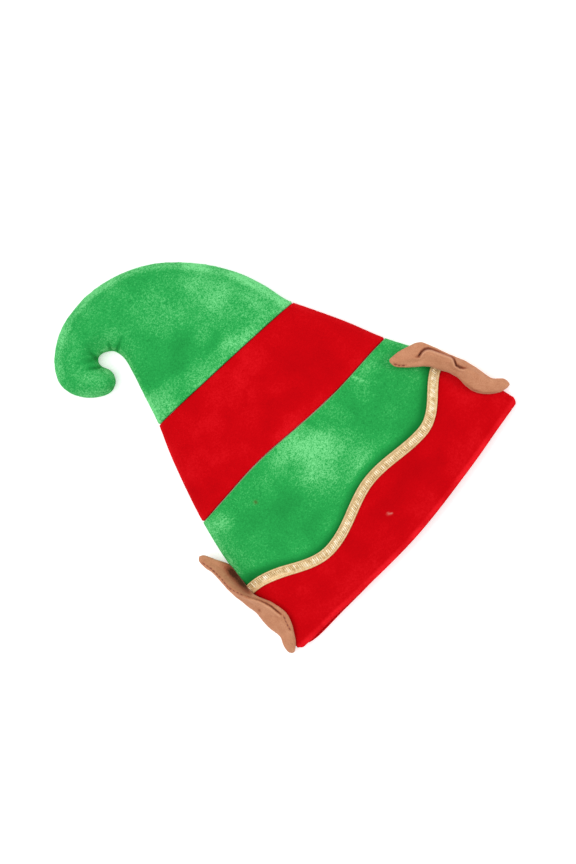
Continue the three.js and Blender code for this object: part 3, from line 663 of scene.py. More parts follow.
# A panel of cloth between two seams, each a function from the place across to the place along. Where the
# lower seam is None the panel is hemmed, and where the upper one is None it ends in the curl's point.
def makePanel(kind, layer, lower, upper, seams, materials, lift=None):
    name = f"{kind}_{layer}_cloth"
    outward = 1 if layer == "front" else -1
    across, lean = frontLeans() if layer == "front" else backLeans()
    pitch = panels["rowPitch"] * (1 if layer == "front" else panels["backCoarser"])
    start, end = lower(across), upper(across)
    steps = np.linspace(0, 1, panels["lengthSteps"])[:, None]
    reach = lengthAlong(planPoint(across, start + (end - start) * steps), 0)[-1]
    lowerSeam, upperSeam = seams
    shares = rowShares(reach, panels["seamRows"], panels["seamRows" if upperSeam else "tipRows"], pitch)
    along = start + (end - start) * shares
    lifted = 0.0 if lift is None else lift(shares * reach, (1 - shares) * reach, across)
    everyAcross, everyLean = np.broadcast_to(across, along.shape), np.broadcast_to(lean, along.shape)
    base = surfacePoint(layer, everyAcross, everyLean, along, 0.0, lifted)
    normals = gridNormals(base, outward)
    downRow, fromRight = lengthAlong(base, 0), lengthAlong(base, 1)
    toUpper, toLeft = downRow[-1:] - downRow, fromRight[:, -1:] - fromRight
    points = base - normals * panelInset(layer, base, seams, fromRight, toLeft, downRow, toUpper)[..., None]
    halfWidth = np.linalg.norm(curveAt(rightEdge, along) - curveAt(leftEdge, along), axis=-1) / 2
    inPlan = {"right": (1 - across) * halfWidth, "left": (1 + across) * halfWidth, "below": shares * reach}
    marks = {"pileToneAndPaintedLight": pileToneAndPaintedLight(kind, layer, base, inPlan, shares),
             "fleck": fleckAmount(kind, layer, base, toUpper)}
    depth = panels["roll"] + panels["flange"]
    if lowerSeam:
        before, keep = (base[0] - normals[0] * depth)[None], 0
    else:
        before = hemFoldRows(base, normals)
        keep = np.searchsorted(np.median(downRow, axis=1), panels["hemFold"] + hatForm["seamGap"])
    after = (base[-1] - normals[-1] * depth)[None] if upperSeam else base[:0]
    points = np.concatenate([before, points[keep:], after])
    turned = gridNormals(points, outward)[:, [2, -3]]
    turned[len(before):len(points) - len(after)] = normals[keep:, [0, -1]]  # front and back lie flat together
    inner = points[:, [0, -1]] - turned * panels["flange"]
    points = np.concatenate([inner[:, :1], points, inner[:, 1:]], axis=1)
    for label, values in marks.items():
        marks[label] = np.pad(values[keep:], ((len(before), len(after)), (1, 1)), mode="edge")
    piece = meshFromGrid(name, points, outward, materials, marks)
    thicken(piece, panels["cloth"])
    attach(piece, "root")
    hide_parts(f"{kind}_{layer}")


braid = {
    "width": 9.4,
    "cord": 0.85,  # radius of the smooth cord along each edge
    "cordFlat": 0.9,  # the cords are a little flattened
    "bed": 0.85,  # height of the middle, under the ribs
    "clear": 0.3,  # over the cloth
    "thickness": 1.8,
    "shelf": 5.0,  # the back stays raised this far from the seam
    "ramp": 3.0,  # and comes down over this length
    "across": [-1, -0.88, -0.72, -0.5, 0, 1],  # places from the left side seam to the right one
    "above": [-1.4, -1.1, 0.7, 1.5, 1.2, 1.7],  # how far over the seam it is sewn there
    "cordArc": (-0.3, 0.85),  # how much of a cord's round is made, in half turns
    "bedWidth": 0.95, "footWidth": 0.9,  # shares of the width that they span
    "ribPitch": 1.75,  # real threads are 0.3 mm, drawn coarser so that they show
    "rib": {"length": 7.6, "width": 1.6, "height": 1.5, "uneven": 0.08, "seed": 4},
    "slant": 10,  # degrees
    "fleck": (68, 46), "fleckSize": 0.9,  # a dark mark on its edge
}
raised = braid["clear"] + braid["thickness"]
gapUp = hatForm["seamGap"] / 2


def tapeSlant(across):  # how far up the hat a step of 1 mm straight across the tape reaches
    step = 0.01
    before, after = np.maximum(across - step, -1), np.minimum(across + step, 1)
    low, high = (planPoint(place, alongAt(place, waveUp(place))) for place in (before, after))
    foot, above = (planPoint(across, alongAt(across, waveUp(across) + rise)) for rise in (0, 1))
    way, rise = high - low, above - foot
    spanned = np.abs(way[..., 0] * rise[..., 1] - way[..., 1] * rise[..., 0])
    return np.hypot(way[..., 0], way[..., 1]) / spanned


def tapeShift(across):  # the tape is sewn a little above the seam that it covers
    return tableAt(braid["across"], braid["above"], across)


def overBraid(distance, across, side):  # how far the back is lifted off the table, above or below the tape
    away = distance / tapeSlant(across) - side * tapeShift(across)
    share = np.clip((braid["shelf"] + braid["ramp"] - away) / braid["ramp"], 0, 1)
    return raised * share * share * (3 - 2 * share)


def hemAlong(layer):
    return lambda across: alongAt(across, hemUp(across, layer))


def waveAlong(shift):
    return lambda across: alongAt(across, waveUp(across) + shift * waveSlant(across))


def seamAlong(seam, shift):
    return lambda across: alongAt(across, seamUp(seam, across) + shift)


def curlTip(across):
    return np.full(np.shape(across), panels["tipEnd"])


red, green = [redVelour, redBacking], [greenVelour, greenBacking]
lifts = {
    "back": (lambda down, up, across: overBraid(up, across, -1),
             lambda down, up, across: overBraid(down, across, 1)),
    "front": (None, None),
}
for layer, (bandLift, crownLift) in lifts.items():
    makePanel("band", layer, hemAlong(layer), waveAlong(-gapUp), (None, "wave"), red, bandLift)
    makePanel("crown", layer, waveAlong(gapUp), seamAlong(stripeSeam, -gapUp), ("wave", "stripe"), green,
              crownLift)
    makePanel("stripe", layer, seamAlong(stripeSeam, gapUp), seamAlong(peakSeam, -gapUp),
              ("stripe", "stripe"), red)
    makePanel("peak", layer, seamAlong(peakSeam, gapUp), curlTip, ("stripe", None), green)


# Geometry Nodes: one small rounded bead on each point, turned to the point's own directions. It makes the
# braid's ribs and the ears' stitches.
def makeBeadTree():
    tree = bpy.data.node_groups.new("beadsOnPoints", "GeometryNodeTree")
    tree.interface.new_socket("Geometry", in_out="INPUT", socket_type="NodeSocketGeometry")
    sockets = {}
    for label, kind in (("Bead length", "NodeSocketFloat"), ("Bead width", "NodeSocketFloat"),
                        ("Bead height", "NodeSocketFloat"), ("Smallest", "NodeSocketFloat"),
                        ("Largest", "NodeSocketFloat"), ("Seed", "NodeSocketInt"),
                        ("Material", "NodeSocketMaterial")):
        sockets[label] = tree.interface.new_socket(label, in_out="INPUT", socket_type=kind).identifier
    tree.interface.new_socket("Geometry", in_out="OUTPUT", socket_type="NodeSocketGeometry")
    given = addNode(tree, "NodeGroupInput").outputs
    facing = addNode(tree, "GeometryNodeInputNamedAttribute", {"Name": "facing"}, data_type="FLOAT_VECTOR")
    running = addNode(tree, "GeometryNodeInputNamedAttribute", {"Name": "running"}, data_type="FLOAT_VECTOR")
    upright = addNode(tree, "FunctionNodeAlignRotationToVector", {"Vector": facing.outputs[0]}, axis="Z")
    turned = addNode(tree, "FunctionNodeAlignRotationToVector", {
        "Rotation": upright.outputs[0], "Vector": running.outputs[0]}, axis="X", pivot_axis="Z")
    bead = addNode(tree, "GeometryNodeMeshUVSphere", {"Segments": 8, "Rings": 5, "Radius": 0.5})
    size = addNode(tree, "ShaderNodeCombineXYZ", {
        "X": given["Bead length"], "Y": given["Bead width"], "Z": given["Bead height"]})
    chance = addNode(tree, "FunctionNodeRandomValue", {2: given["Smallest"], 3: given["Largest"],
                                                       "Seed": given["Seed"]}, data_type="FLOAT")
    scaled = addNode(tree, "ShaderNodeVectorMath", {0: size.outputs[0], "Scale": chance.outputs[1]},
                     operation="SCALE")
    beads = addNode(tree, "GeometryNodeInstanceOnPoints", {
        "Points": given["Geometry"], "Instance": bead.outputs["Mesh"], "Rotation": turned.outputs[0],
        "Scale": scaled.outputs[0]})
    tone = addNode(tree, "FunctionNodeRandomValue", {2: 0.0, 3: 1.0, "Seed": 7}, data_type="FLOAT")
    toned = addNode(tree, "GeometryNodeStoreNamedAttribute", {
        "Geometry": beads.outputs[0], "Name": "beadTone", "Value": tone.outputs[1]},
        data_type="FLOAT", domain="INSTANCE")
    smooth = addNode(tree, "GeometryNodeSetShadeSmooth", {"Geometry": toned.outputs[0]})
    real = addNode(tree, "GeometryNodeRealizeInstances", {"Geometry": smooth.outputs[0]})
    coloured = addNode(tree, "GeometryNodeSetMaterial", {"Geometry": real.outputs[0],
                                                         "Material": given["Material"]})
    addNode(tree, "NodeGroupOutput", {0: coloured.outputs[0]})
    return tree, sockets


beadTree, beadSockets = makeBeadTree()


# bead gives its length, width, height, how uneven it is and a seed. running and facing are the directions of
# its length and its top.
def makeBeads(name, points, running, facing, bead, material):
    mesh = bpy.data.meshes.new(name)
    mesh.from_pydata(toFrame(points).tolist(), [], [])
    for label, vectors in (("running", running), ("facing", facing)):
        attribute = mesh.attributes.new(label, "FLOAT_VECTOR", "POINT")
        attribute.data.foreach_set("vector", np.asarray(vectors, float).ravel())
    piece = bpy.data.objects.new(name, mesh)
    scene.collection.objects.link(piece)
    beads = piece.modifiers.new("beads", "NODES")
    beads.node_group = beadTree
    for label, value in (("Bead length", bead["length"] * mm), ("Bead width", bead["width"] * mm),
                         ("Bead height", bead["height"] * mm), ("Smallest", 1.0 - bead["uneven"]),
                         ("Largest", 1.0 + bead["uneven"]), ("Seed", bead["seed"]), ("Material", material)):
        beads[beadSockets[label]] = value
    applyModifiers(piece)
    piece.data.shade_smooth()
    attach(piece, "root")
    print("beads", name, len(piece.data.polygons), "faces")
    return piece


# Metallised polyester thread, wound flat round a soft core: pale gold that glitters, with brown gaps between
# the ribs. The glitter and glints are painted sparkle and highlights in its colour, lifted towards white. The
# cords along the edges are wound closer and look smoother and creamier.
gilt = {"threadSize": 0.9 * mm, "threadDepth": 0.15 * mm, "glintSize": 4 * mm}
giltRib = {"stops": [(0.0, "#a07c48"), (0.35, "#dabc88"), (0.6, "#f2e0b8"), (0.9, "#fffef6")],
           "metallic": 0.2, "roughness": 0.3, "own": 0.3, "glitter": 0.8, "glint": 0.9}
giltCord = {"stops": [(0.0, "#4a3418"), (0.2, "#b08c56"), (0.5, "#d6b480"), (0.8, "#efdab0")],
            "metallic": 0.15, "roughness": 0.45, "own": 1.0, "glitter": 0.8, "glint": 0.4}


def makeGilt(name, finish):
    material, tree = newMaterial(name)
    place = addNode(tree, "ShaderNodeTexCoord").outputs["Object"]
    own = addNode(tree, "ShaderNodeAttribute", attribute_name="beadTone").outputs["Fac"]
    threads = addNode(tree, "ShaderNodeTexNoise", {"Vector": place, "Scale": 1 / gilt["threadSize"],
                                                   "Detail": 2.0, "Roughness": 0.7}).outputs["Fac"]
    # painted glints: broad lighter and darker patches of the thread's colour
    glints = addNode(tree, "ShaderNodeTexNoise", {"Vector": place, "Scale": 1 / gilt["glintSize"],
                                                  "Detail": 1.0}).outputs["Fac"]
    value = 0.5 - (finish["own"] + finish["glitter"] + finish["glint"]) / 2
    for part, weight in ((own, finish["own"]), (threads, finish["glitter"]), (glints, finish["glint"])):
        value = addNode(tree, "ShaderNodeMath", {0: part, 1: weight, 2: value},
                        operation="MULTIPLY_ADD").outputs[0]
    wound = addNode(tree, "ShaderNodeValToRGB", {"Fac": value}, finish["stops"])
    bump = addNode(tree, "ShaderNodeBump", {"Strength": 0.7, "Distance": gilt["threadDepth"],
                                            "Height": threads})
    shader = addNode(tree, "ShaderNodeBsdfPrincipled", {
        "Base Color": wound.outputs["Color"], "Metallic": finish["metallic"],
        "Roughness": finish["roughness"], "Normal": bump.outputs["Normal"]})
    addNode(tree, "ShaderNodeOutputMaterial", {"Surface": shader.outputs[0]})
    return material


# A line round the hat beside the wavy seam, over the front and back underneath: shift is how far up from the
# seam, and height how far off the cloth
def braidLine(shift, height):
    across, lean = frontLeans()
    away = shift + tapeShift(across)
    side = panels["typicalWidth"] * (1 - np.abs(across))
    sunk = height - valley("wave", np.abs(away)) * np.clip(side / unevenness["sideFade"], 0, 1)
    up = waveUp(across) + away * tapeSlant(across)
    over = surfacePoint("front", across, lean, alongAt(across, up), sunk)
    across, lean = (values[::-1][1:-1] for values in backLeans())
    up = waveUp(across) + (shift + tapeShift(across)) * tapeSlant(across)
    under = surfacePoint("back", across, lean, alongAt(across, up), height, raised)
    return np.concatenate([over, under])


def braidProfile():  # shift and height round the tape's section: a cord, the bed, the other cord, underneath
    cord, middle = braid["cord"], braid["width"] / 2 - braid["cord"]
    bedEdge, footEdge = braid["bedWidth"] * (middle - cord), braid["footWidth"] * middle
    turn = np.linspace(*braid["cordArc"], 8) * np.pi
    upper = np.column_stack([middle + cord * np.cos(turn), cord * braid["cordFlat"] * (1 + np.sin(turn))])
    bed = np.column_stack([np.linspace(bedEdge, -bedEdge, 5), np.full(5, braid["bed"])])
    under = np.column_stack([np.linspace(-footEdge, footEdge, 3), np.zeros(3)])
    return np.concatenate([upper, bed, upper[::-1] * [-1, 1], under])


def makeBraid():
    rings = np.array([braidLine(shift, braid["clear"] + height) for shift, height in braidProfile()])
    away = np.linalg.norm(rings[..., :2] - np.array(braid["fleck"]), axis=-1) / braid["fleckSize"]
    tone = 0.5 - np.exp(-away**2)
    tape = meshFromGrid("gold_braid_tape", rings, 1, [makeGilt("gilt_thread_cord", giltCord)],
                        {"beadTone": tone}, closedRows=True, closedColumns=True)
    closeUp(tape)
    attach(tape, "root")
    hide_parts("gold_braid")
    print("braid", len(tape.data.polygons), "faces")


def makeRibs():
    bed = braid["clear"] + braid["bed"]
    line, above, beside = braidLine(0, bed), braidLine(0, bed + 1), braidLine(1, bed)
    loop = np.concatenate([line, line[:1]])
    length = lengthAlong(loop, 0)
    count = int(length[-1] / braid["ribPitch"])
    spots = np.arange(count) * length[-1] / count

    def atSpots(values):
        closed = np.concatenate([values, values[:1]])
        return np.stack([np.interp(spots, length, closed[:, k]) for k in range(3)], axis=1)

    middle = atSpots(line)
    facing, sideways = atSpots(above) - middle, atSpots(beside) - middle
    facing /= np.linalg.norm(facing, axis=1, keepdims=True)
    sideways -= facing * (sideways * facing).sum(axis=1, keepdims=True)
    sideways /= np.linalg.norm(sideways, axis=1, keepdims=True)
    slant = math.radians(braid["slant"])
    running = sideways * math.cos(slant) + np.cross(sideways, facing) * math.sin(slant)
    ribs = makeBeads("gold_braid_ribs", middle, running, facing, braid["rib"],
                     makeGilt("gilt_thread_rib", giltRib))


makeBraid()
makeRibs()


# Tan microsuede, a brushed knit: matt and even, with faint mottling and a soft bloom at its edges. Cloth
# deep in a fold or under the thread is painted darker and redder as shade, and the padded roll beside a
# crease lighter as a painted highlight; a dot in the cloth is marked the same way.
suede = {"mottleSize": 7 * mm, "napSize": 1.1 * mm, "napDepth": 0.12 * mm, "roughness": 0.9, "specular": 0.1,
         "sheen": 0.25, "sheenRoughness": 0.4, "sheenTint": "#ffe0d0", "mottle": 0.3, "nap": 0.4,
         "stops": [(0.0, "#44200f"), (0.35, "#96543a"), (0.7, "#bc8160"), (1.0, "#d49c7a")]}


def makeSuede():
    material, tree = newMaterial("tan_microsuede_brushed")
    place = addNode(tree, "ShaderNodeTexCoord").outputs["Object"]
    # painted shade in folds, grooves and creases, painted highlight on the rolls, and a dot in the cloth
    fold = addNode(tree, "ShaderNodeAttribute", attribute_name="foldShadeHighlightAndMarks").outputs["Fac"]
    mottle = addNode(tree, "ShaderNodeTexNoise", {"Vector": place, "Scale": 1 / suede["mottleSize"],
                                                  "Detail": 3.0}).outputs["Fac"]
    nap = addNode(tree, "ShaderNodeTexNoise", {"Vector": place, "Scale": 1 / suede["napSize"],
                                               "Detail": 2.0}).outputs["Fac"]
    centre = (suede["mottle"] + suede["nap"]) / 2
    lean = addNode(tree, "ShaderNodeMath", {0: fold, 1: centre}, operation="SUBTRACT")
    for noise, weight in ((mottle, suede["mottle"]), (nap, suede["nap"])):
        lean = addNode(tree, "ShaderNodeMath", {0: noise, 1: weight, 2: lean.outputs[0]},
                       operation="MULTIPLY_ADD")
    dyed = addNode(tree, "ShaderNodeValToRGB", {"Fac": lean.outputs[0]}, suede["stops"])
    bump = addNode(tree, "ShaderNodeBump", {"Strength": 0.6, "Distance": suede["napDepth"], "Height": nap})
    shader = addNode(tree, "ShaderNodeBsdfPrincipled", {
        "Base Color": dyed.outputs["Color"], "Roughness": suede["roughness"],
        "Specular IOR Level": suede["specular"], "Sheen Weight": suede["sheen"],
        "Sheen Roughness": suede["sheenRoughness"], "Sheen Tint": linear(suede["sheenTint"]),
        "Normal": bump.outputs["Normal"]})
    addNode(tree, "ShaderNodeOutputMaterial", {"Surface": shader.outputs[0]})
    return material


# Spun polyester thread, a redder brown than the suede, its twist drawn coarser so that it shows as a streak
spunThread = {"twistSize": 0.4 * mm, "dark": "#6e3020", "light": "#98523c", "roughness": 0.6}


def makeThread():
    material, tree = newMaterial("brown_thread_spun")
    place = addNode(tree, "ShaderNodeTexCoord").outputs["Object"]
    twist = addNode(tree, "ShaderNodeTexNoise", {"Vector": place, "Scale": 1 / spunThread["twistSize"]})
    dyed = addNode(tree, "ShaderNodeValToRGB", {"Fac": twist.outputs["Fac"]},
                   [(0.3, spunThread["dark"]), (0.7, spunThread["light"])])
    shader = addNode(tree, "ShaderNodeBsdfPrincipled", {"Base Color": dyed.outputs["Color"],
                                                        "Roughness": spunThread["roughness"]})
    addNode(tree, "ShaderNodeOutputMaterial", {"Surface": shader.outputs[0]})
    return material


# The camera looks straight down and is turned, so that the hem runs up to the right as in the photo
photo = {
    "width": 576, "height": 864,
    "hemMiddle": (407, 524),  # pixel of the middle of the hem's corners
    "mmPerPixel": 0.875,
    "turn": -48.42,  # degrees of the picture's right hand side from the hat's x
    "lens": 100, "sensor": 36,
    "focusHeight": 10,
}
turn = math.radians(photo["turn"])
picRight = np.array([math.cos(turn), math.sin(turn)])
picUp = np.array([-math.sin(turn), math.cos(turn)])
picMiddle = np.array([photo["width"], photo["height"]]) / 2
cameraAway = photo["height"] * photo["mmPerPixel"] * photo["lens"] / photo["sensor"]

# Each ear is a stuffed pad that lies along v with u across it, mm from the origin. sections are rows of v,
# the crest's u and height, the underside's height, and how far the cloth bows out below the crest. near and
# far, the edges over the hat and away from it, are pixels read off the photo, with the height there
# in mm. Stitches and creases are such pixels too, on the crest where no height is given, and a crease's have
# its weight with them.
# A crease's tone darkens the suede as painted shade, and its roll lightens it as a painted highlight. The
# left ear's second crease is the painted shadow where the ear meets the hat, and its last is a dot in the
# cloth.
ears = {
    "left": {
        "origin": (-138, 0), "lean": 0, "ends": (-1.3, 117.5), "lobeRound": 3.5, "tipRound": 5,
        "sections": [(0, -10, 13, 3, 0.6), (10, -2.5, 21.5, 0.7, 0.6), (20, 3, 25, 0.7, 0.6),
                     (30, 6, 27, 0.7, 0.6), (40, 5.5, 28.5, 0.7, 0.6), (50, 3.5, 30, 0.7, 0.4),
                     (60, -0.5, 31, 0.7, 0), (70, -4, 31, 0.7, -0.5), (80, -5, 29.5, 0.7, -1.5),
                     (90, -5, 27, 0.7, -1.5), (100, -5, 24, 2, -1), (110, -5, 21, 7, 0),
                     (117, -4, 19, 11, 0)],
        "near": [(296.2, 649.5, 9), (296.2, 640, 14), (294.8, 633, 18), (291.5, 622, 21), (287, 613, 22.5),
                 (279.5, 606.3, 23), (270.4, 600.9, 23), (259.6, 596.4, 22), (252.5, 592.5, 18),
                 (247.4, 585.7, 15), (240.6, 576.8, 13), (233.6, 568.3, 12.5), (228.9, 563.7, 12.5),
                 (219.8, 560.2, 13), (213.2, 557.5, 14), (206.5, 555, 15)],
        "far": [(285.2, 649.9, 8.5), (282.6, 644.5, 9), (280.7, 638.2, 9), (275.4, 633.1, 9),
                (267.9, 627.6, 9), (262.9, 621.8, 10), (255.9, 613, 13), (248.8, 607.8, 15.5),
                (239.7, 601, 19.5), (231.4, 593.4, 22), (223.9, 585.8, 21.5), (217.3, 578.6, 19.5),
                (212.3, 573.4, 18), (204.5, 568.2, 17), (199.8, 563.5, 16)],
        "stitches": [[(202.3, 563), (207.4, 566.1), (214, 571.5), (220.6, 578.1), (228.1, 587), (233.9, 591),
                      (242, 595)], [(283.8, 616), (285.5, 621), (290.3, 630.4)]],
        "creases": [
            {"line": [(241.4, 594.7, 0), (246.3, 596.6, 0.3), (258.8, 599.9, 0.6), (264.6, 602.6, 0.8),
                      (271.2, 606.3, 1), (276.2, 610.5, 1), (280.7, 614.2, 0.8), (282.8, 615.6, 0)],
             "wide": 0.9, "depth": 1.5, "tone": 0.6, "roll": 0.3},
            # painted shadow in the gap between the ear and the hat's edge
            {"line": [(225.5, 564.5, 0.4), (231, 571.5, 1), (236.8, 577.3, 1), (243.3, 583.8, 1),
                      (249, 589.8, 0.7), (253.5, 594.5, 0)], "height": 15,
             "wide": 4, "depth": 1.2, "tone": 0.8, "roll": 0},
            {"line": [(259, 611, 1), (259.4, 611.6, 1)], "wide": 1.1, "depth": 0, "tone": 0.34, "roll": 0},
        ],
    },
    "right": {
        "origin": (150.9, 16), "lean": 31.8, "ends": (-2.3, 107.3), "lobeRound": 3.5, "tipRound": 3,
        "sections": [(0, -1, 15, 6, 1), (10, -2.5, 21.5, 3, 1.5), (18, -2, 25, 3, 1.5), (30, 2, 31, 3, 1.5),
                     (40, 5, 34, 3, 1.2), (50, 8.5, 36.5, 3, 1), (60, 12, 38.5, 3.3, 1), (70, 13, 39, 4.5, 1),
                     (80, 11.5, 38, 10, 0.8), (90, 6, 36.3, 19, 0), (100, 2, 34.3, 26, 0),
                     (107, 1, 33.5, 29, 0)],
        "near": [(509, 386.9, 12), (503.9, 391.1, 13), (493.6, 393.9, 16), (483.3, 394.4, 18.5),
                 (473, 391.6, 21), (465.8, 386.4, 22.5), (461.7, 381.8, 23), (457.5, 377.7, 24),
                 (449.3, 373.6, 25.5), (441.1, 371, 26.5), (431.8, 367.9, 27.5), (425.6, 366.9, 28.5),
                 (411.2, 367.7, 30), (400.9, 368.1, 31), (394.7, 367.4, 31.5), (390.6, 364.3, 32),
                 (389.1, 362.4, 32)],
        "far": [(508.5, 380.8, 12), (504.9, 377.9, 13), (499.8, 377.5, 15), (493.6, 377.9, 17),
                (489.5, 376.4, 18), (478.1, 368.2, 21), (465.8, 360.4, 24), (457.5, 356.9, 25.5),
                (442.1, 350.4, 28), (431.8, 345.5, 29.5), (425.6, 342.9, 30.5), (420.5, 341.4, 31),
                (414.3, 342.9, 31.5), (408.6, 345.7, 32), (395.7, 353, 32.5), (391, 356.8, 32.5),
                (388.9, 359, 32.5)],
        "stitches": [[(393.5, 364), (399, 365.4), (406, 365.3)]],
        "creases": [
            {"line": [(411.7, 356, 0), (415.3, 356.7, 0.15), (418.9, 356.5, 0.6), (419.6, 355, 1),
                      (421.5, 351.9, 1), (424.6, 349.4, 1), (428.7, 348.3, 1), (432.8, 349.1, 0.8),
                      (442.1, 353.2, 0.6), (451.4, 356, 0.6), (453.9, 358.1, 0.8), (455, 360.7, 1),
                      (456.5, 365.3, 1), (460.1, 367.2, 1), (463.2, 368, 0.8), (465.8, 367.8, 0.4),
                      (468.9, 366.9, 0)], "wide": 1.1, "depth": 3.2, "tone": 0.52, "roll": 1.6},
            {"line": [(459.5, 362, 0), (462.5, 364.5, 1), (469, 368, 0.4), (473, 371, 0)],
             "wide": 3.6, "depth": 1.8, "tone": 0.08, "roll": 0},
            {"line": [(462.5, 380.5, 0), (466.5, 385, 0.6), (473.5, 390, 1), (483.3, 392.9, 1),
                      (493.6, 392.4, 0.6), (503, 389.8, 0)], "height": 21,
             "wide": 0.8, "depth": 0.5, "tone": 0.2, "roll": 0},
        ],
    },
}
pads = {
    "rowPitch": 1.7, "around": 52, "voxel": 1.4, "smoothing": 3, "finer": 2,
    "endInset": 0.15, "endSize": 0.02,  # where the last rings are, mm, and their share of the section there
    "footShares": (0.75, 0.35),  # where the underside's points lie, from near to far
    "lowest": 0.1, "overTable": 0.2,
    "pressure": 4.0, "frames": 20, "quality": 6, "cap": 1.2,  # how far the stuffing may push, mm
    "swell": 0.3,  # how far the outline starts inside its place, as the stuffing pushes it out
    "held": 1.4, "heldBelow": 3,  # the stuffing doesn't move the cloth this near to thread and table
    "seat": 0.4,  # over the cloth
    "edge": 0.9999,  # the hat's sides, just inside the side seams
    "overBraid": 0.62,  # the seat is raised within this share of the braid's width
    "stitchWide": 0.9, "stitchDepth": 0.5, "stitchPitch": 3.5, "puckerLength": 7.0, "pucker": 0.25,
    # the stitch groove is darkened from the fabric's own tone as painted shade
    "fabricTone": 0.72, "grooveShade": 0.16,
    "steepest": 2.5,  # how fast folds and stitches fade out on slopes
    # the padded edge beside a crease, whose tone is a painted highlight
    "rollAway": 2.1, "rollWide": 1.0, "rollHighlight": 0.22,  # the padded edge beside a crease
    "lumps": [(9, 0.3, 31), (3.5, 0.12, 32)],  # size, height and seed
}
stitch = {"length": 2.3, "width": 1.0, "height": 0.7, "uneven": 0.15, "seed": 9, "proud": 0.25,
          "lineSteps": 400, "dropFrom": 80}  # stitches drop on to the ear from this height


def hatHeightAt(plan):  # the top of the hat with its braid, or below nothing outside it
    across = np.clip(plan[..., 0] / hatForm["hemHalfWidth"], -1, 1)
    for step in range(6):
        along = alongAt(np.clip(across, -1, 1), plan[..., 1])
        left, right = curveAt(leftEdge, along), curveAt(rightEdge, along)
        across = 2 * ((plan - left) * (right - left)).sum(-1) / ((right - left)**2).sum(-1) - 1
    within = np.clip(across, -pads["edge"], pads["edge"])
    height = surfacePoint("front", within, np.arccos(within), along)[..., 2]
    away = (plan[..., 1] - waveUp(within)) / tapeSlant(within) - tapeShift(within)
    onBraid = np.abs(away) < braid["width"] * pads["overBraid"]
    return np.where(np.abs(across) < 1, height + onBraid * (raised + braid["clear"]), -1.0)


def earAxes(ear):
    lean = math.radians(ear["lean"])
    return (np.array(ear["origin"], float), np.array([math.cos(lean), math.sin(lean)]),
            np.array([-math.sin(lean), math.cos(lean)]))


def earPlan(ear, u, v):
    origin, crosswise, lengthwise = earAxes(ear)
    return origin + np.asarray(u)[..., None] * crosswise + np.asarray(v)[..., None] * lengthwise


def localPlan(ear, points):
    origin, crosswise, lengthwise = earAxes(ear)
    offset = points[:, :2] - origin
    return np.stack([offset @ crosswise, offset @ lengthwise], axis=1)


# The u and v of pixels of the photo, at their heights in mm. What is higher looks further from its middle.
def fromPhoto(ear, pixels, height):
    nearer = (height - photo["focusHeight"]) / cameraAway
    level = (pixels - picMiddle) * (1 - nearer)[:, None] + picMiddle
    offset = (level - photo["hemMiddle"]) * photo["mmPerPixel"]
    return localPlan(ear, offset[:, :1] * picRight - offset[:, 1:] * picUp)


def lineFromPhoto(ear, line, height=None):  # a line's u, v and what else its points hold
    line = np.array(line, float)
    if height is None:
        v, crestHeight = np.array(ear["sections"])[:, [0, 2]].T
        level = fromPhoto(ear, line[:, :2], np.full(len(line), photo["focusHeight"]))
        height = np.interp(level[:, 1], v, crestHeight)
    height = np.broadcast_to(height, len(line))
    return np.column_stack([fromPhoto(ear, line[:, :2], height), line[:, 2:]])


def earRings(ear):  # sections from the lobe to the point, each a closed ring of points
    lobeEnd, tipEnd = ear["ends"]
    count = int((tipEnd - lobeEnd) / pads["rowPitch"])
    v = np.linspace(lobeEnd + pads["endInset"], tipEnd - pads["endInset"], count)
    rows = np.array(ear["sections"], float).T
    crestPlace, crestHeight, foot, bow = (tableAt(rows[0], row, v) for row in rows[1:])
    crest = np.stack([crestPlace, crestHeight])

    def edgeLine(name):
        readings = np.array(ear[name], float)
        across, along, height = lineFromPhoto(ear, readings, readings[:, 2]).T
        place = tableAt(along, across, v)
        return np.stack([place + pads["swell"] * np.sign(crestPlace - place), tableAt(along, height, v)])

    near, far = edgeLine("near"), edgeLine("far")
    bulge = np.stack([np.zeros_like(bow), bow])
    under = [np.stack([far[0] * share + near[0] * (1 - share), foot]) for share in pads["footShares"]]
    outline = np.array([near, (near + crest) / 2 + bulge, crest, (crest + far) / 2 + np.abs(bulge) / 2, far,
                        *under])
    ring = curveAt(np.moveaxis(outline, 2, 1), np.arange(pads["around"]) / pads["around"], closed=True)
    middle = ring.mean(axis=0)
    fromLobe = np.clip((ear["lobeRound"] - v + lobeEnd) / ear["lobeRound"], 0, 1)
    fromTip = np.clip((v - tipEnd + ear["tipRound"]) / ear["tipRound"], 0, 1)
    size = np.sqrt(np.maximum(1 - np.maximum(fromLobe, fromTip)**2, pads["endSize"]**2))
    ring = middle + (ring - middle) * size[:, None]
    plan = earPlan(ear, ring[..., 0], np.broadcast_to(v, ring.shape[:2]))
    return np.concatenate([plan, np.maximum(ring[..., 1:], pads["lowest"])], axis=-1)


def readPoints(piece):
    flat = np.empty(len(piece.data.vertices) * 3)
    piece.data.vertices.foreach_get("co", flat)
    return (flat.reshape(-1, 3) - hatOrigin) / mm


def readNormals(piece):
    flat = np.empty(len(piece.data.vertices) * 3)
    piece.data.vertices.foreach_get("normal", flat)
    return flat.reshape(-1, 3)


def writePoints(piece, points):
    piece.data.vertices.foreach_set("co", toFrame(points).ravel())
    piece.data.update()


def stitchDistance(plan, lines):  # nearest distance to lines of several stretches
    gaps = [lineDistance(plan, start, end)[0] for line in lines for start, end in zip(line[:-1], line[1:])]
    return np.min(gaps, axis=0)


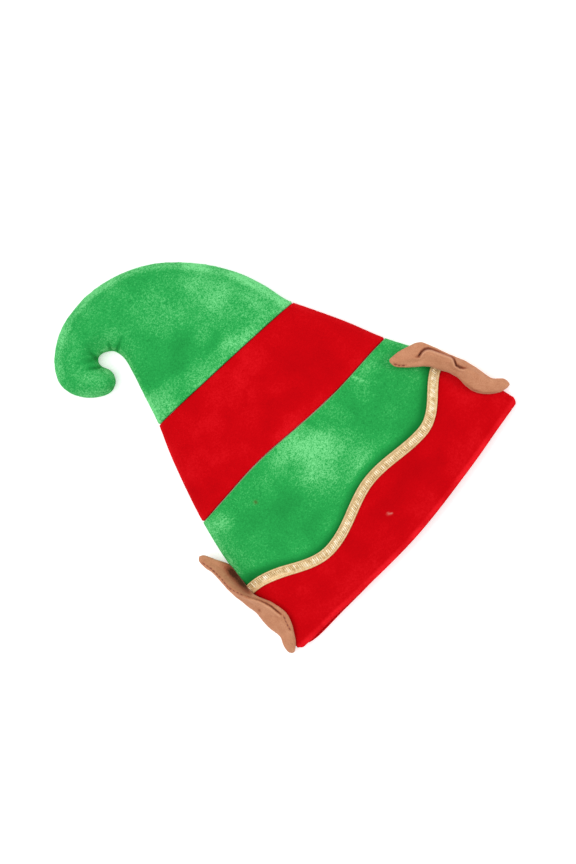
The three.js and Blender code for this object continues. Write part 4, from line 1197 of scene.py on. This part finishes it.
# Nearest distance to a crease, with the crease's own weight there, and whether it is on the lobed edge's side
def creaseNear(plan, line):
    nearest, weight = np.full(len(plan), np.inf), np.zeros(len(plan))
    inner = np.zeros(len(plan), bool)
    for start, end in zip(np.array(line[:-1]), np.array(line[1:])):
        distance, share = lineDistance(plan, start[:2], end[:2])
        along, offset = end[:2] - start[:2], plan - start[:2]
        closer = distance < nearest
        nearest = np.where(closer, distance, nearest)
        weight = np.where(closer, start[2] + (end[2] - start[2]) * share, weight)
        inner = np.where(closer, offset[:, 0] * along[1] > offset[:, 1] * along[0], inner)
    return nearest, weight, inner


# The stuffing: pressure puffs the pad out between the thread and the foot, which hold it
def puffUp(piece, held):
    group = piece.vertex_groups.new(name="held")
    group.add([int(index) for index in np.flatnonzero(held)], 1.0, "REPLACE")
    before = readPoints(piece)
    cloth = piece.modifiers.new("stuffing", "CLOTH")
    cloth.settings.quality = pads["quality"]
    cloth.settings.use_pressure = True
    cloth.settings.uniform_pressure_force = pads["pressure"]
    cloth.settings.vertex_group_mass = "held"
    cloth.settings.effector_weights.gravity = 0
    cloth.collision_settings.use_collision = False
    cloth.point_cache.frame_start = 1
    cloth.point_cache.frame_end = pads["frames"]
    for moment in range(1, pads["frames"] + 1):
        scene.frame_set(moment)
    applyModifiers(piece)
    scene.frame_set(1)
    piece.vertex_groups.clear()
    moved = readPoints(piece) - before
    size = np.linalg.norm(moved, axis=1, keepdims=True)
    print("stuffing pushes", piece.name, "by", round(float(np.median(size)), 2), "mm, at most",
          round(float(size.max()), 2))
    writePoints(piece, before + moved * np.minimum(1, pads["cap"] / np.maximum(size, 1e-6)))


def remesh(piece):
    voxels = piece.modifiers.new("voxels", "REMESH")
    voxels.mode = "VOXEL"
    voxels.voxel_size = pads["voxel"] * mm
    even = piece.modifiers.new("even", "SMOOTH")
    even.iterations = pads["smoothing"]
    applyModifiers(piece)


def makeEar(side, suedeCloth):
    ear = ears[side]
    piece = meshFromGrid(f"ear_{side}_pad", earRings(ear).swapaxes(0, 1), 1, [suedeCloth], {},
                         closedColumns=True)
    closeUp(piece)
    remesh(piece)
    points = readPoints(piece)
    stitchLines = [lineFromPhoto(ear, line) for line in ear["stitches"]]
    stitchGap = stitchDistance(localPlan(ear, points), stitchLines)
    onTop = readNormals(piece)[:, 2] > 0
    puffUp(piece, (onTop & (stitchGap < pads["held"])) | (points[:, 2] < pads["heldBelow"]))
    finer = piece.modifiers.new("finer", "SUBSURF")
    finer.levels = finer.render_levels = pads["finer"]
    applyModifiers(piece)
    points, normals = readPoints(piece), readNormals(piece)
    local = localPlan(ear, points)
    facing = np.clip(normals[:, 2] * pads["steepest"], 0, 1)
    stitchGap = stitchDistance(local, stitchLines)
    gather = 1 + pads["pucker"] * np.sin(local[:, 1] * 2 * np.pi / pads["puckerLength"])
    groove = np.exp(-(stitchGap / pads["stitchWide"])**2) * gather * facing
    points -= normals * (pads["stitchDepth"] * groove)[:, None]
    # painted shade in the stitch groove and the creases, painted highlight on the rolls beside them
    tone = pads["fabricTone"] - pads["grooveShade"] * groove
    for crease in ear["creases"]:
        line = lineFromPhoto(ear, crease["line"], crease.get("height"))
        distance, weight, inner = creaseNear(local, line)
        sunk = weight * np.exp(-(distance / crease["wide"])**2) * facing
        roll = weight * np.exp(-((distance - pads["rollAway"]) / pads["rollWide"])**2) * facing * inner
        points[:, 2] += crease["roll"] * roll - crease["depth"] * sunk
        tone += (crease["roll"] > 0) * pads["rollHighlight"] * roll - crease["tone"] * sunk
    for size, height, seed in pads["lumps"]:
        points += normals * (height * softNoise(local[:, 0], local[:, 1], size, seed))[:, None]
    seat = hatHeightAt(points[:, :2]) + pads["seat"]
    points[:, 2] = np.maximum(points[:, 2], np.where(seat > 0, seat, pads["overTable"]))
    writePoints(piece, points)
    attribute = piece.data.attributes.new("foldShadeHighlightAndMarks", "FLOAT", "POINT")
    attribute.data.foreach_set("value", np.clip(tone, 0, 1))
    piece.data.shade_smooth()
    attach(piece, "root")
    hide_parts(f"ear_{side}")
    print("ear", side, len(piece.data.polygons), "faces")
    return piece


def stitchEar(side, pad, thread):
    ear = ears[side]
    surface = BVHTree.FromObject(pad, bpy.context.evaluated_depsgraph_get())
    points, running, facing = [], [], []
    for stretch in ear["stitches"]:
        line = curveAt(lineFromPhoto(ear, stretch), np.linspace(0, 1, stitch["lineSteps"]))
        length = lengthAlong(line, 0)
        spots = np.arange(pads["stitchPitch"] / 2, length[-1], pads["stitchPitch"])
        plan = earPlan(ear, np.interp(spots, length, line[:, 0]), np.interp(spots, length, line[:, 1]))
        row = []
        for x, y in plan:
            above = Vector(toFrame([x, y, stitch["dropFrom"]]))
            hit, normal = surface.ray_cast(above, Vector((0, 0, -1)))[:2]
            row.append((np.array(hit) - hatOrigin) / mm + np.array(normal) * stitch["proud"])
            facing.append(np.array(normal))
        points += row
        running += list(np.gradient(np.array(row), axis=0))
    stitches = makeBeads(f"ear_{side}_stitches", points, running, facing, stitch, thread)


tanSuede, brownThread = makeSuede(), makeThread()
for side in ears:
    stitchEar(side, makeEar(side, tanSuede), brownThread)

# Floor, light and camera
stage = {
    "size": 4.0, "colour": "#fafafa", "roughness": 0.9, "specular": 0.1, "skyLight": 0.6,
    "glow": 0.3,  # of the floor itself, as on a lit table
    "lights": [
        {"name": "softbox_over", "place": (-0.5, 0.5, 1.7), "size": 1.5, "power": 20},
        {"name": "softbox_side", "place": (1.3, -0.9, 1.0), "size": 0.9, "power": 9},
    ],
}
bpy.ops.mesh.primitive_plane_add(size=stage["size"])
floor = bpy.context.object
floor.name = "floor"
paper, paperTree = newMaterial("floor_paper")
paperShader = addNode(paperTree, "ShaderNodeBsdfPrincipled", {
    "Base Color": linear(stage["colour"]), "Roughness": stage["roughness"],
    "Specular IOR Level": stage["specular"],
    "Emission Color": linear("#ffffff"), "Emission Strength": stage["glow"]})
addNode(paperTree, "ShaderNodeOutputMaterial", {"Surface": paperShader.outputs[0]})
floor.data.materials.append(paper)

world = bpy.data.worlds.new("studio")
scene.world = world
world.use_nodes = True
sky = world.node_tree.nodes["Background"]
sky.inputs["Color"].default_value = (1, 1, 1, 1)
sky.inputs["Strength"].default_value = stage["skyLight"]

for box in stage["lights"]:  # round soft boxes aimed at the hat
    light = bpy.data.lights.new(box["name"], "AREA")
    light.shape = "DISK"
    light.size = box["size"]
    light.energy = box["power"]
    lamp = bpy.data.objects.new(box["name"], light)
    lamp.location = box["place"]
    lamp.rotation_euler = (-Vector(box["place"])).to_track_quat("-Z", "Y").to_euler()
    scene.collection.objects.link(lamp)
print("stage ready")

offPixels = picMiddle - photo["hemMiddle"]
aim = (picRight * offPixels[0] - picUp * offPixels[1]) * photo["mmPerPixel"]
lens = bpy.data.cameras.new("camera")
lens.lens = photo["lens"]
lens.sensor_width = photo["sensor"]
camera = bpy.data.objects.new("camera", lens)
camera.location = toFrame([aim[0], aim[1], photo["focusHeight"] + cameraAway])
camera.rotation_euler = (0, 0, turn)
scene.collection.objects.link(camera)
scene.camera = camera
scene.view_settings.view_transform = "Standard"
print("camera ready")
